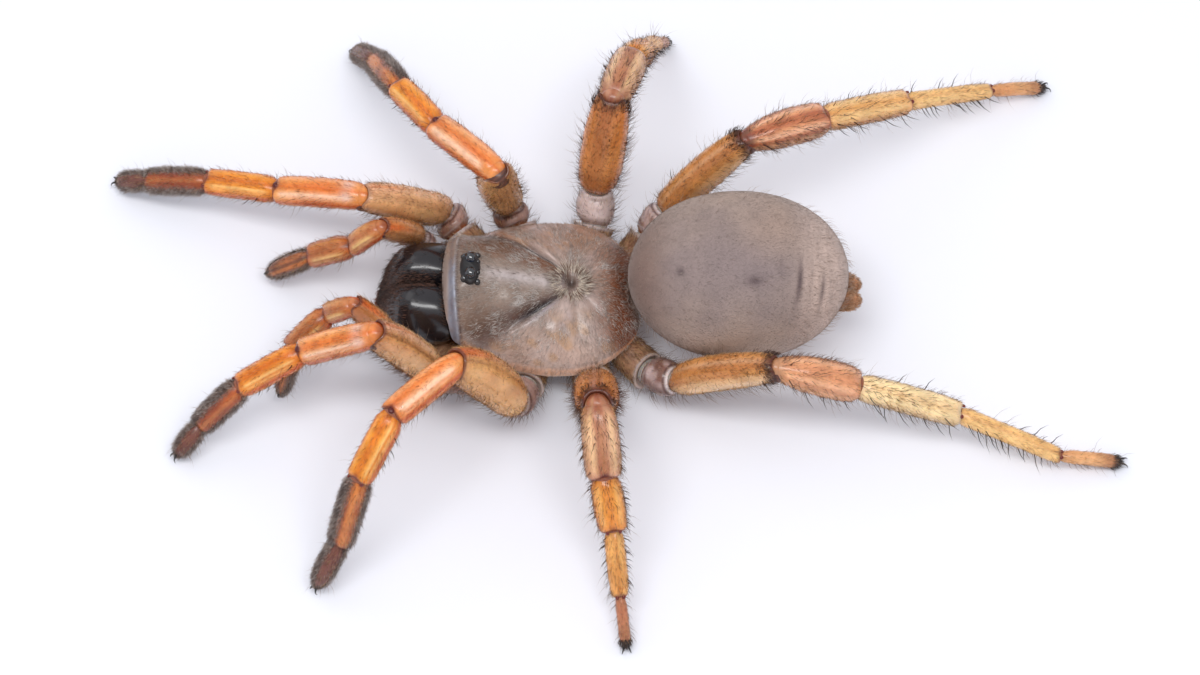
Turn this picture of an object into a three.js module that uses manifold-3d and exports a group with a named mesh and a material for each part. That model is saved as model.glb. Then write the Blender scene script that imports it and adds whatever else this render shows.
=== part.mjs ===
// A trapdoor spider, life size, standing in a walking pose. Millimetres, +Z up.
// The head points along -X, the animal's own right side is +Y. The floor is z = 0.
import * as THREE from 'three';
import { mergeVertices } from 'three/addons/utils/BufferGeometryUtils.js';
import Module from 'manifold-3d';

const wasm = await Module();
wasm.setup();

// ---------------------------------------------------------------- driving dimensions
const SHIFT = [-0.62, 1.09, 0]; // moves the model so that its box stands centred on the origin
const GAP = 0.16; // slit between two neighbouring plates
const FLAT_DEPTH = 0.1; // how much of each foot pad is pressed flat on the floor
const SIDES = 9; // facets round a leg

// carapace stations: x, half width, rim height, crest height, crest fullness
const CARAPACE = [
  // x      w     rim   top   groove half width, groove depth
  [-9.62, 2.7, 5.2, 6.15, 2.4, 0.0],
  [-9.3, 3.25, 4.65, 6.75, 2.9, 0.0],
  [-8.6, 3.65, 4.15, 7.4, 3.2, 0.05],
  [-7.7, 4.0, 3.75, 7.62, 3.2, 0.12],
  [-6.6, 4.5, 3.45, 7.2, 3.0, 0.3],
  [-5.4, 4.9, 3.25, 6.75, 2.6, 0.5],
  [-4.2, 5.15, 3.15, 6.3, 2.0, 0.6],
  [-3.0, 5.28, 3.1, 5.75, 1.3, 0.55],
  [-1.8, 5.25, 3.1, 5.3, 0.7, 0.35],
  [-0.6, 4.95, 3.1, 5.3, 0.5, 0.05],
  [0.5, 4.35, 3.1, 5.05, 0.5, 0.0],
  [1.4, 3.6, 3.12, 4.5, 0.5, 0.0],
  [2.1, 2.75, 3.15, 3.9, 0.5, 0.0],
  [2.5, 1.7, 3.2, 3.5, 0.5, 0.0],
];
const CARAPACE_UNDERSIDE = 0.25; // the plate's lower face sits this far under its rim

// abdomen: an egg, turned a little about its long axis
const ABDOMEN = { centre: [8.4, 0, 6.45], half: [6.75, 5.2, 4.35], roll: 18 };
const PEDICEL = { from: [1.9, 0, 2.45], to: [4.05, 0.1, 3.05], r: 0.55 };
const SPINNERETS = [
  // base, tip, base radius, tip radius
  { from: [14.3, -0.62, 4.25], to: [16.15, -1.05, 3.75], r0: 0.5, r1: 0.27 },
  { from: [14.3, 0.55, 4.25], to: [16.1, 0.8, 3.75], r0: 0.5, r1: 0.27 },
];

// chelicerae: stations x, outer half width, bottom, top; both halves share them
const CHELICERA = [
  [-9.15, 3.1, 2.35, 5.3],
  [-9.7, 3.3, 2.1, 5.95],
  [-10.5, 3.35, 1.95, 6.2],
  [-11.4, 3.25, 1.85, 6.0],
  [-12.3, 2.95, 1.8, 5.35],
  [-13.0, 2.45, 1.8, 4.55],
  [-13.5, 1.75, 2.05, 3.75],
  [-13.75, 0.95, 2.6, 3.1],
];
const CHELICERA_SLIT = 0.1; // half the slit between the two
const FANG = { base: [-12.95, 1.35, 1.2], mid: [-11.6, 1.5, 0.95], tip: [-9.5, 0.95, 0.95], r0: 0.5, r1: 0.27 };

const STERNUM = { x: [-7.9, 1.55], half: 2.15, z: [0.85, 2.6] };

// eyes: a low mound near the front of the head and eight domes on it
const EYE_MOUND = { centre: [-7.85, 0, 7.42], half: [0.72, 1.15, 0.62] };
const EYES = [
  // x, y, z, radius; mirrored to the other side
  [-8.3, 0.3, 7.83, 0.17],
  [-7.85, 0.32, 8.0, 0.23],
  [-8.35, 0.78, 7.66, 0.21],
  [-7.5, 0.85, 7.74, 0.19],
];

// legs: coxa root, coxa/trochanter, trochanter/femur, knee, patella/tibia, tibia/metatarsus, metatarsus/tarsus, tip
const LEGS = {
  r1: [[-6.5, 2.55, 1.95], [-8.7, 5.0, 2.05], [-9.52, 6.2, 2.6], [-14.43, 4.9, 7.39], [-19.75, 6.42, 5.25], [-24.18, 7.75, 3.85], [-28.06, 8.69, 2.21], [-30.29, 9.42, 0.72]],
  l1: [[-6.5, -2.55, 1.95], [-8.75, -4.75, 2.1], [-10.1, -5.5, 3.9], [-13.36, -6.2, 10.97], [-17.79, -5.65, 7.39], [-21.61, -6.8, 5.13], [-24.25, -8.03, 2.2], [-25.86, -9.46, 0.68]],
  r2: [[-3.95, 2.6, 1.9], [-5.15, 5.4, 2.1], [-5.76, 6.57, 3.0], [-6.33, 5.3, 9.85], [-9.95, 9.08, 8.57], [-12.33, 12.46, 7.24], [-14.01, 16.27, 3.83], [-15.57, 18.78, 0.71]],
  l2: [[-3.95, -2.6, 1.9], [-4.6, -5.4, 2.05], [-5.1, -7.1, 3.3], [-8.6, -7.9, 10.3], [-12.18, -11.3, 10.6], [-14.19, -14.3, 8.3], [-15.53, -16.5, 3.8], [-17.12, -18.2, 0.7]],
  r3: [[-1.35, 2.6, 1.9], [-0.37, 5.6, 2.1], [-0.19, 7.14, 3.95], [0.78, 9.86, 10.77], [1.9, 13.52, 8.97], [2.6, 15.59, 6.29], [3.49, 18.04, 3.01], [4.2, 19.58, 0.4]],
  l3: [[-1.35, -2.6, 1.9], [-0.34, -5.2, 2.1], [-0.2, -6.66, 3.8], [-0.17, -10.43, 10.12], [0.24, -13.88, 7.63], [0.78, -16.23, 5.11], [1.2, -19.37, 2.32], [1.55, -21.86, 0.4]],
  r4: [[1.25, 2.55, 1.85], [2.9, 4.6, 2.05], [4.05, 6.0, 3.42], [8.84, 7.7, 9.36], [13.63, 9.9, 8.08], [18.97, 12.74, 5.05], [24.51, 15.24, 1.93], [28.04, 16.31, 0.4]],
  l4: [[1.25, -2.55, 1.85], [2.95, -4.4, 2.05], [4.6, -5.65, 3.37], [10.49, -7.2, 8.39], [15.43, -7.31, 6.09], [21.7, -8.03, 3.65], [27.93, -9.81, 1.45], [31.75, -9.75, 0.4]],
};
const PALPS = {
  rp: [[-8.75, 1.3, 1.75], [-10.5, 3.75, 1.95], [-11.2, 4.25, 3.0], [-13.3, 2.85, 7.2], [-15.08, 2.61, 5.24], [-17.75, 2.88, 3.33], [-20.64, 2.66, 1.27]],
  lp: [[-8.75, -1.3, 1.75], [-10.7, -3.7, 1.95], [-11.9, -4.3, 2.9], [-14.81, -2.75, 7.8], [-16.44, -2.5, 6.13], [-18.66, -3.73, 4.03], [-19.56, -5.59, 1.12]],
};
// joint radii along a leg: root, coxa/trochanter, trochanter/femur, knee, patella/tibia, tibia/metatarsus, metatarsus/tarsus, tip
const JOINT_R = {
  1: [0.95, 1.15, 0.9, 0.78, 0.78, 0.72, 0.62, 0.4],
  2: [0.95, 1.15, 0.9, 0.8, 0.8, 0.74, 0.66, 0.42],
  3: [0.95, 1.2, 0.95, 0.85, 0.86, 0.66, 0.42, 0.28],
  4: [0.95, 1.15, 0.9, 0.72, 0.82, 0.66, 0.42, 0.28],
  p: [0.8, 0.85, 0.66, 0.58, 0.6, 0.66, 0.4],
};
// mid-piece radii [side to side, back to belly] of coxa, trochanter, femur, patella, tibia, metatarsus, tarsus
const MID_R = {
  1: [[1.2, 1.1], [1.1, 1.1], [0.98, 1.3], [0.92, 1.0], [0.86, 0.92], [0.84, 0.88], [0.74, 0.72]],
  2: [[1.2, 1.1], [1.1, 1.1], [0.98, 1.3], [0.94, 1.02], [0.88, 0.94], [0.88, 0.9], [0.8, 0.76]],
  3: [[1.2, 1.1], [1.15, 1.15], [1.3, 1.4], [1.15, 1.2], [0.98, 1.0], [0.62, 0.64], [0.42, 0.42]],
  4: [[1.2, 1.05], [1.1, 1.1], [0.95, 1.28], [1.0, 1.1], [0.88, 0.94], [0.56, 0.58], [0.44, 0.44]],
  p: [[0.9, 0.85], [0.8, 0.85], [0.68, 0.85], [0.7, 0.76], [0.82, 0.84], [0.78, 0.76]],
};
const FEMUR_BOW = 0.28; // how far the middle of a thigh arches to the back

// ---------------------------------------------------------------- small helpers
const V = (a) => new THREE.Vector3(a[0], a[1], a[2]);
const lerp = (a, b, t) => a + (b - a) * t;
const smooth = (t) => t * t * (3 - 2 * t);

function table(rows, x) {
  // smooth reading of a table whose first column is x (either order)
  const up = rows[0][0] < rows[rows.length - 1][0];
  const r = up ? rows : [...rows].reverse();
  if (x <= r[0][0]) return r[0];
  for (let i = 0; i < r.length - 1; i++) {
    if (x <= r[i + 1][0]) {
      const t = (x - r[i][0]) / (r[i + 1][0] - r[i][0]);
      const a = r[Math.max(i - 1, 0)], b = r[i], c = r[i + 1], d = r[Math.min(i + 2, r.length - 1)];
      return b.map((_, k) => {
        const m0 = (c[k] - a[k]) / Math.max(c[0] - a[0], 1e-6) * (c[0] - b[0]);
        const m1 = (d[k] - b[k]) / Math.max(d[0] - b[0], 1e-6) * (c[0] - b[0]);
        const t2 = t * t, t3 = t2 * t;
        return (2 * t3 - 3 * t2 + 1) * b[k] + (t3 - 2 * t2 + t) * m0 + (-2 * t3 + 3 * t2) * c[k] + (t3 - t2) * m1;
      });
    }
  }
  return r[r.length - 1];
}

// a closed skin through rings of equal length, with a fan on each end
function loft(rings, startCentre, endCentre) {
  const n = rings[0].length;
  const pos = [];
  for (const ring of rings) for (const p of ring) pos.push(p.x, p.y, p.z);
  const a = rings.length * n, b = a + 1;
  pos.push(startCentre.x, startCentre.y, startCentre.z, endCentre.x, endCentre.y, endCentre.z);
  const idx = [];
  for (let k = 0; k < rings.length - 1; k++) {
    for (let i = 0; i < n; i++) {
      const j = (i + 1) % n;
      const p = k * n + i, q = k * n + j, r = (k + 1) * n + i, s = (k + 1) * n + j;
      idx.push(p, q, s, p, s, r);
    }
  }
  for (let i = 0; i < n; i++) {
    const j = (i + 1) % n;
    idx.push(a, j, i);
    idx.push(b, (rings.length - 1) * n + i, (rings.length - 1) * n + j);
  }
  let g = new THREE.BufferGeometry();
  g.setAttribute('position', new THREE.Float32BufferAttribute(pos, 3));
  g.setIndex(idx);
  return outward(g);
}

function volume(g) {
  const p = g.getAttribute('position'), ix = g.index.array;
  const a = new THREE.Vector3(), b = new THREE.Vector3(), c = new THREE.Vector3();
  let v = 0;
  for (let i = 0; i < ix.length; i += 3) {
    a.fromBufferAttribute(p, ix[i]); b.fromBufferAttribute(p, ix[i + 1]); c.fromBufferAttribute(p, ix[i + 2]);
    v += a.dot(b.cross(c)) / 6;
  }
  return v;
}

function outward(g) {
  if (volume(g) < 0) {
    const ix = g.index.array;
    for (let i = 0; i < ix.length; i += 3) { const t = ix[i + 1]; ix[i + 1] = ix[i + 2]; ix[i + 2] = t; }
  }
  return g;
}

function solid(geometry) {
  let g = geometry.clone();
  for (const name of Object.keys(g.attributes)) if (name !== 'position') g.deleteAttribute(name);
  g = outward(mergeVertices(g, 1e-5));
  return new wasm.Manifold(new wasm.Mesh({
    numProp: 3,
    vertProperties: new Float32Array(g.getAttribute('position').array),
    triVerts: new Uint32Array(g.index.array),
  }));
}

function shape(m) {
  const mesh = m.getMesh();
  const g = new THREE.BufferGeometry();
  g.setAttribute('position', new THREE.Float32BufferAttribute(Array.from(mesh.vertProperties), 3));
  g.setIndex(Array.from(mesh.triVerts));
  return g;
}

function largest(m) {
  const parts = m.decompose();
  let best = parts[0];
  for (const p of parts) if (p.volume() > best.volume()) best = p;
  return best;
}

const floorBlock = solid(new THREE.BoxGeometry(200, 200, 20).translate(0, 0, -10));

// ---------------------------------------------------------------- legs
// A leg piece runs through joints a..b of a chain. It is cut square across each bend, so that two
// neighbours meet face to face with a slit between them.
function limb(chain, jr, mid, a, b, across, tipRound, grow = 0, firstGap = GAP / 2) {
  const P = chain.map(V);
  const dir = [];
  for (let i = 0; i < P.length - 1; i++) dir.push(P[i + 1].clone().sub(P[i]).normalize());
  const plane = (j) => {
    if (j === 0) return dir[0].clone();
    if (j === P.length - 1) return dir[j - 1].clone();
    return dir[j - 1].clone().add(dir[j]).normalize();
  };
  const rings = [];
  for (let s = a; s < b; s++) {
    const d = dir[s];
    const w = across.clone().sub(d.clone().multiplyScalar(across.dot(d))).normalize();
    const u = w.clone().cross(d).normalize();
    if (u.z < 0 && Math.abs(d.z) < 0.98) u.multiplyScalar(-1);
    const len = P[s].distanceTo(P[s + 1]);
    const last = s === P.length - 2 && tipRound;
    const stops = last ? [0, 0.16, 0.5, 0.8, 0.94, 1] : a === 0 ? [0, 0.3, 0.75, 1] : a === 5 ? [0, 0.2, 0.6, 1] : [0, 0.14, 0.4, 0.7, 1];
    const shrink = last ? [1, 1, 1, 1, 0.8, 0.42] : [1, 1, 1, 1, 1, 1];
    const N0 = plane(s), N1 = plane(s + 1);
    const first = s === a ? 0 : 1;
    for (let k = first; k < stops.length; k++) {
      const t = stops[k];
      const ring = [];
      for (let i = 0; i < SIDES; i++) {
        const th = (i + 0.5) / SIDES * Math.PI * 2;
        const body = Math.pow(Math.sin(Math.PI * Math.min(Math.max(t, 0), 1)), 0.45);
        let rl = lerp(lerp(jr[s], jr[s + 1], t), mid[s][0], body);
        let rd = lerp(lerp(jr[s], jr[s + 1], t), mid[s][1], body);
        if (last && t > 0.5) { rl = mid[s][0]; rd = mid[s][1]; }
        rl = rl * shrink[k] + grow; rd = rd * shrink[k] + grow;
        const o = w.clone().multiplyScalar(Math.cos(th) * rl).add(u.clone().multiplyScalar(Math.sin(th) * rd));
        const far = 0.4 * Math.max(rl, rd);
        let t0 = -o.dot(N0) / d.dot(N0), t1 = len - o.dot(N1) / d.dot(N1);
        t0 = Math.max(t0, -far); t1 = Math.min(t1, len + far);
        if (s === a) t0 += firstGap;
        if (s === b - 1) t1 -= GAP / 2;
        const bow = s === 2 ? FEMUR_BOW * Math.sin(Math.PI * t) : 0;
        const p = P[s].clone().add(o).add(d.clone().multiplyScalar(lerp(t0, t1, t))).add(u.clone().multiplyScalar(bow));
        ring.push(p);
      }
      rings.push(ring);
    }
  }
  const centre = (ring) => ring.reduce((m, p) => m.add(p), new THREE.Vector3()).multiplyScalar(1 / ring.length);
  return loft(rings, centre(rings[0]), centre(rings[rings.length - 1]));
}

function acrossOf(chain) {
  // the hinge direction shared by the joints of a leg: level, and square to the way the leg points
  const n = chain.length;
  const h = V(chain[n - 1]).sub(V(chain[2])); h.z = 0; h.normalize();
  return new THREE.Vector3(-h.y, h.x, 0);
}

// the foot is lowered until its pad is pressed flat by FLAT_DEPTH, then trimmed at the floor
function foot(chain, jr, mid, a, across) {
  const c = chain.map((p) => [...p]);
  const tip = c[c.length - 1];
  let g;
  for (let i = 0; i < 6; i++) {
    g = limb(c, jr, mid, a, c.length - 1, across, true);
    g.computeBoundingBox();
    tip[2] += -FLAT_DEPTH - g.boundingBox.min.z;
  }
  return shape(solid(g).subtract(floorBlock));
}

// ---------------------------------------------------------------- body shells
function carapace(grow = 0) {
  const NX = 16, NT = 12;
  const x0 = CARAPACE[0][0], x1 = CARAPACE[CARAPACE.length - 1][0];
  const rings = [];
  for (let k = 0; k <= NX; k++) {
    const s = k / NX;
    const x = lerp(x0, x1, 0.5 - 0.5 * Math.cos(Math.PI * (0.06 + 0.88 * s)) / Math.cos(Math.PI * 0.06));
    const [, w, rim, top, gw, gd] = table(CARAPACE, x);
    const ring = [];
    for (let i = 0; i <= NT; i++) {
      // over the back, from one rim to the other
      const c = Math.cos(Math.PI * i / NT);
      const y = w * Math.sign(c) * Math.pow(Math.abs(c), 0.9);
      const q = Math.abs(y) / w;
      let z = rim + (top - rim) * Math.pow(Math.max(0, 1 - Math.pow(q, 2.1)), 0.72);
      z -= gd * Math.exp(-Math.pow((Math.abs(y) - gw) / 0.45, 2));
      ring.push(new THREE.Vector3(x, y + Math.sign(c) * grow * q, z + grow));
    }
    for (let i = NT - 1; i > 0; i -= 1) {
      // back again underneath
      const c = Math.cos(Math.PI * i / NT);
      const y = 0.985 * w * c;
      ring.push(new THREE.Vector3(x, y, rim - CARAPACE_UNDERSIDE * (1 - c * c) - 0.12 - grow));
    }
    rings.push(ring);
  }
  if (grow) {
    rings.forEach((ring, k) => ring.forEach((p) => { p.x += grow * (k === 0 ? -1 : k === NX ? 1 : 0); }));
  }
  const centre = (ring) => ring.reduce((m, p) => m.add(p), new THREE.Vector3()).multiplyScalar(1 / ring.length);
  return loft(rings, centre(rings[0]), centre(rings[NX]));
}

function abdomen(grow = 0) {
  const NX = 16, NT = 20;
  const { centre, half, roll } = ABDOMEN;
  const rings = [];
  for (let k = 1; k < NX; k++) {
    const u = Math.cos(Math.PI * k / NX); // 1 at the front, -1 at the tail
    const x = -half[0] * Math.sign(u) * Math.pow(Math.abs(u), 0.96);
    const r = Math.pow(1 - Math.pow(Math.abs(x) / half[0], 2.15), 0.5);
    const ring = [];
    for (let i = 0; i < NT; i++) {
      const th = i / NT * Math.PI * 2;
      const low = Math.sin(th) < 0 ? 0.96 : 1;
      ring.push(new THREE.Vector3(
        x + Math.sign(x) * grow,
        (half[1] * r + grow) * Math.cos(th),
        (half[2] * r * low + grow) * Math.sin(th),
      ));
    }
    rings.push(ring);
  }
  const g = loft(rings, new THREE.Vector3(-half[0] - grow, 0, 0), new THREE.Vector3(half[0] + grow, 0, 0));
  g.rotateX(roll * Math.PI / 180);
  g.translate(...centre);
  return g;
}

function chelicera(side, grow = 0) {
  const NT = 14;
  const rings = [];
  const NX = 10;
  for (let k = 0; k <= NX; k++) {
    const s = k / NX;
    const x = lerp(CHELICERA[0][0], CHELICERA[CHELICERA.length - 1][0], Math.sin(s * Math.PI / 2 * 0.98) / Math.sin(Math.PI / 2 * 0.98));
    const [, w, lo, hi] = table(CHELICERA, x);
    const inner = CHELICERA_SLIT - grow, outer = w + grow;
    const cy = (inner + outer) / 2, hy = (outer - inner) / 2;
    const cz = (lo + hi) / 2, hz = (hi - lo) / 2 + grow;
    const ring = [];
    for (let i = 0; i < NT; i++) {
      const th = i / NT * Math.PI * 2;
      const c = Math.cos(th), sn = Math.sin(th);
      const pc = Math.sign(c) * Math.pow(Math.abs(c), c < 0 ? 0.55 : 0.85);
      const ps = Math.sign(sn) * Math.pow(Math.abs(sn), 0.85);
      ring.push(new THREE.Vector3(x, side * (cy + hy * pc), cz + hz * ps));
    }
    rings.push(ring);
  }
  const centre = (ring) => ring.reduce((m, p) => m.add(p), new THREE.Vector3()).multiplyScalar(1 / ring.length);
  return loft(rings, centre(rings[0]), centre(rings[NX]));
}

// a tapered, gently bent horn through three points
function horn(p0, p1, p2, r0, r1, n = 8, m = 6) {
  const curve = new THREE.QuadraticBezierCurve3(V(p0), V(p1), V(p2));
  const rings = [];
  const up = new THREE.Vector3(0, 1, 0);
  for (let k = 0; k <= m; k++) {
    const t = k / m;
    const c = curve.getPoint(t), d = curve.getTangent(t).normalize();
    const w = up.clone().sub(d.clone().multiplyScalar(up.dot(d))).normalize();
    const u = w.clone().cross(d);
    const r = lerp(r0, r1, t) * (k === 0 ? 0.7 : 1);
    const ring = [];
    for (let i = 0; i < n; i++) {
      const th = i / n * Math.PI * 2;
      ring.push(c.clone().add(w.clone().multiplyScalar(Math.cos(th) * r)).add(u.clone().multiplyScalar(Math.sin(th) * r)));
    }
    rings.push(ring);
  }
  return loft(rings, V(p0), V(p2));
}

function sternum() {
  const NX = 8, NT = 12;
  const { x, half, z } = STERNUM;
  const rings = [];
  for (let k = 0; k <= NX; k++) {
    const s = k / NX;
    const px = lerp(x[0], x[1], s);
    const w = half * Math.pow(Math.sin(Math.PI * lerp(0.14, 0.86, s)), 0.6);
    const cz = (z[0] + z[1]) / 2, hz = (z[1] - z[0]) / 2 * Math.pow(Math.sin(Math.PI * lerp(0.2, 0.8, s)), 0.4);
    const ring = [];
    for (let i = 0; i < NT; i++) {
      const th = i / NT * Math.PI * 2, c = Math.cos(th), sn = Math.sin(th);
      ring.push(new THREE.Vector3(px, w * Math.sign(c) * Math.pow(Math.abs(c), 0.7), cz + hz * Math.sign(sn) * Math.pow(Math.abs(sn), 0.7)));
    }
    rings.push(ring);
  }
  const centre = (ring) => ring.reduce((m, p) => m.add(p), new THREE.Vector3()).multiplyScalar(1 / ring.length);
  return loft(rings, centre(rings[0]), centre(rings[NX]));
}

function eyes() {
  let m = solid(new THREE.SphereGeometry(1, 12, 6).scale(...EYE_MOUND.half).translate(...EYE_MOUND.centre));
  for (const [x, y, z, r] of EYES) {
    for (const side of [1, -1]) {
      m = m.add(solid(new THREE.SphereGeometry(r, 7, 5).translate(x, side * y, z)));
    }
  }
  return m;
}

// ---------------------------------------------------------------- materials
const skin = (color, roughness) => new THREE.MeshStandardMaterial({ color, roughness, metalness: 0 });
const M = {
  carapace: skin(0x9a8676, 0.5),
  abdomen: skin(0x938678, 0.85),
  chelicera: skin(0x1b1614, 0.18),
  fang: skin(0x120b08, 0.15),
  eye: skin(0x0a0c12, 0.08),
  sternum: skin(0xa9764a, 0.55),
  coxa: skin(0x8b6547, 0.6),
  femur: skin(0xc58a45, 0.4),
  patella: skin(0xd9772a, 0.3),
  tibia: skin(0xd97a2c, 0.32),
  foot_brush: skin(0x5c4a3e, 0.85),
  foot: skin(0xc98b3f, 0.45),
  spinneret: skin(0xa9622e, 0.7),
  pedicel: skin(0xb98a63, 0.6),
};

// ---------------------------------------------------------------- assembly
const group = new THREE.Group();
group.position.set(...SHIFT);
const add = (name, geometry, material) => {
  const mesh = new THREE.Mesh(geometry, material.clone());
  mesh.name = name;
  group.add(mesh);
  return mesh;
};

const carapaceGrown = solid(carapace(0.14));
const abdomenGrown = solid(abdomen(0.14));
add('carapace', carapace(), M.carapace);
add('eyes', shape(largest(eyes().subtract(solid(carapace(0.08))))), M.eye);
for (const [side, label] of [[1, 'right'], [-1, 'left']]) {
  add(`chelicera_${label}`, shape(largest(solid(chelicera(side)).subtract(carapaceGrown))), M.chelicera);
  const f = (p) => [p[0], p[1] * side, p[2]];
  add(`fang_${label}`, horn(f(FANG.base), f(FANG.mid), f(FANG.tip), FANG.r0, FANG.r1), M.fang);
}
add('sternum', sternum(), M.sternum);
add('abdomen', shape(largest(solid(abdomen()).subtract(carapaceGrown))), M.abdomen);
{
  const { from, to, r } = PEDICEL;
  const mid = [lerp(from[0], to[0], 0.5), 0, lerp(from[2], to[2], 0.5) - 0.15];
  let m = solid(horn(from, mid, to, r, r, 10, 4)).subtract(abdomenGrown).subtract(carapaceGrown);
  add('pedicel', shape(largest(m)), M.pedicel);
}
{
  let m = null;
  for (const s of SPINNERETS) {
    const mid = s.from.map((c, i) => (c + s.to[i]) / 2 + (i === 2 ? 0.12 : 0));
    const h = solid(horn(s.from, mid, s.to, s.r0, s.r1, 7, 4));
    m = m ? m.add(h) : h;
  }
  // the low base that carries them
  m = m.add(solid(new THREE.SphereGeometry(1, 8, 5).scale(0.9, 1.25, 0.6).rotateY(0.5).translate(14.35, 0, 4.15)));
  add('spinnerets', shape(largest(m.subtract(abdomenGrown))), M.spinneret);
}

for (const [key, chain] of Object.entries(LEGS)) {
  const k = key[1];
  const name = `leg_${key}`;
  const across = acrossOf(chain);
  const jr = JOINT_R[k], mid = MID_R[k];
  const piece = (a, b) => limb(chain, jr, mid, a, b, across, false);
  add(`${name}_coxa`, shape(largest(solid(piece(0, 2)).subtract(carapaceGrown))), M.coxa);
  add(`${name}_femur`, piece(2, 3), M.femur);
  add(`${name}_patella`, piece(3, 4), M.patella);
  add(`${name}_tibia`, piece(4, 5), M.tibia);
  add(`${name}_foot`, foot(chain, jr, mid, 5, across), k < 3 ? M.foot_brush : M.foot);
}
for (const [key, chain] of Object.entries(PALPS)) {
  const name = key === 'rp' ? 'palp_right' : 'palp_left';
  const leg = LEGS[key === 'rp' ? 'r1' : 'l1'];
  const beside = solid(limb(leg, JOINT_R[1], MID_R[1], 0, 2, acrossOf(leg), false, 0.15));
  const jaw = solid(chelicera(key === 'rp' ? 1 : -1, 0.15));
  const across = acrossOf(chain);
  const jr = JOINT_R.p, mid = MID_R.p;
  const piece = (a, b, tip) => limb(chain, jr, mid, a, b, across, tip);
  add(`${name}_coxa`, shape(largest(solid(piece(0, 2, false)).subtract(carapaceGrown).subtract(beside).subtract(jaw))), M.coxa);
  add(`${name}_femur`, shape(largest(solid(piece(2, 3, false)).subtract(beside).subtract(jaw))), M.femur);
  add(`${name}_shank`, piece(3, 5, false), M.tibia);
  add(`${name}_tarsus`, piece(5, 6, true), M.foot_brush);
}

export default group;
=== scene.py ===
import math

import bpy
import numpy as np
from mathutils import Matrix, Vector


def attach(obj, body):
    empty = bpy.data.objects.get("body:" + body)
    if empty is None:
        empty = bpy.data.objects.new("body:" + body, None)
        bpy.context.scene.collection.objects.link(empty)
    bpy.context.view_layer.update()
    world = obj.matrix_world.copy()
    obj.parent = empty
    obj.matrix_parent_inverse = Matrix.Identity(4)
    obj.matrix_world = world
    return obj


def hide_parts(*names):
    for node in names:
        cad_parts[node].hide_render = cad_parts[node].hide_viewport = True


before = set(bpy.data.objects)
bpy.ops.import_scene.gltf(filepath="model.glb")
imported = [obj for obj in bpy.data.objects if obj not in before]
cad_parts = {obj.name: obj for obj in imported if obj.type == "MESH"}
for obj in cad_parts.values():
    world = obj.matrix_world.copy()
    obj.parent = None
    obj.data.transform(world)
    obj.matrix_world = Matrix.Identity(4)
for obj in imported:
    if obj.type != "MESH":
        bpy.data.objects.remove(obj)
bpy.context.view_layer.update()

MM = 0.001
# Everything below is worked out in millimetres in the animal's own layout (body midline at y = 0)
# and moved by SHIFT, as the solids are, so that the model's box stands centred on the origin.
SHIFT = np.array([-0.62, 1.09, 0.0])


# ------------------------------------------------------------------ small tools
def srgb(r, g, b):
    """Linear colour of a display colour given in 0..255."""
    c = np.array([r, g, b], float) / 255.0
    return np.where(c <= 0.04045, c / 12.92, ((c + 0.055) / 1.055) ** 2.4)


def mixc(a, b, t):
    """Colour blend; t may be an array."""
    a, b = np.asarray(a, float), np.asarray(b, float)
    t = np.clip(np.asarray(t, float), 0, 1)[..., None]
    return a * (1 - t) + b * t


def sstep(a, b, x):
    t = np.clip((np.asarray(x, float) - a) / (b - a), 0, 1)
    return t * t * (3 - 2 * t)


def bump(x, c, w):
    return np.exp(-(((np.asarray(x, float) - c) / w) ** 2))


def unit(v):
    return v / np.maximum(np.linalg.norm(v, axis=-1, keepdims=True), 1e-12)


def curve(xs, ys):
    """A smooth curve through points that never overshoots them."""
    xs, ys = np.asarray(xs, float), np.asarray(ys, float)
    h = np.diff(xs)
    d = np.diff(ys) / h
    m = np.zeros_like(ys)
    same = d[:-1] * d[1:] > 0
    m[1:-1] = np.where(same, 2 * d[:-1] * d[1:] / np.where(same, d[:-1] + d[1:], 1), 0)
    m[0], m[-1] = d[0], d[-1]

    def f(x):
        x = np.clip(np.asarray(x, float), xs[0], xs[-1])
        i = np.clip(np.searchsorted(xs, x, side="right") - 1, 0, len(xs) - 2)
        t = (x - xs[i]) / h[i]
        t2, t3 = t * t, t * t * t
        return ((2 * t3 - 3 * t2 + 1) * ys[i] + (t3 - 2 * t2 + t) * h[i] * m[i]
                + (-2 * t3 + 3 * t2) * ys[i + 1] + (t3 - t2) * h[i] * m[i + 1])
    return f


_waves = np.random.default_rng(91)
_K = [(_waves.normal(size=(10, 3)), _waves.uniform(0, 6.28, 10)) for _ in range(4)]


def noise(p, scale, which=0):
    """Smooth seeded noise of about -1..1 at points p (mm); scale is the size of a blotch in mm."""
    k, ph = _K[which]
    a = (p[..., None, :] * k * (2.2 / scale)).sum(-1) + ph
    return np.sin(a).sum(-1) / 3.2


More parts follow.
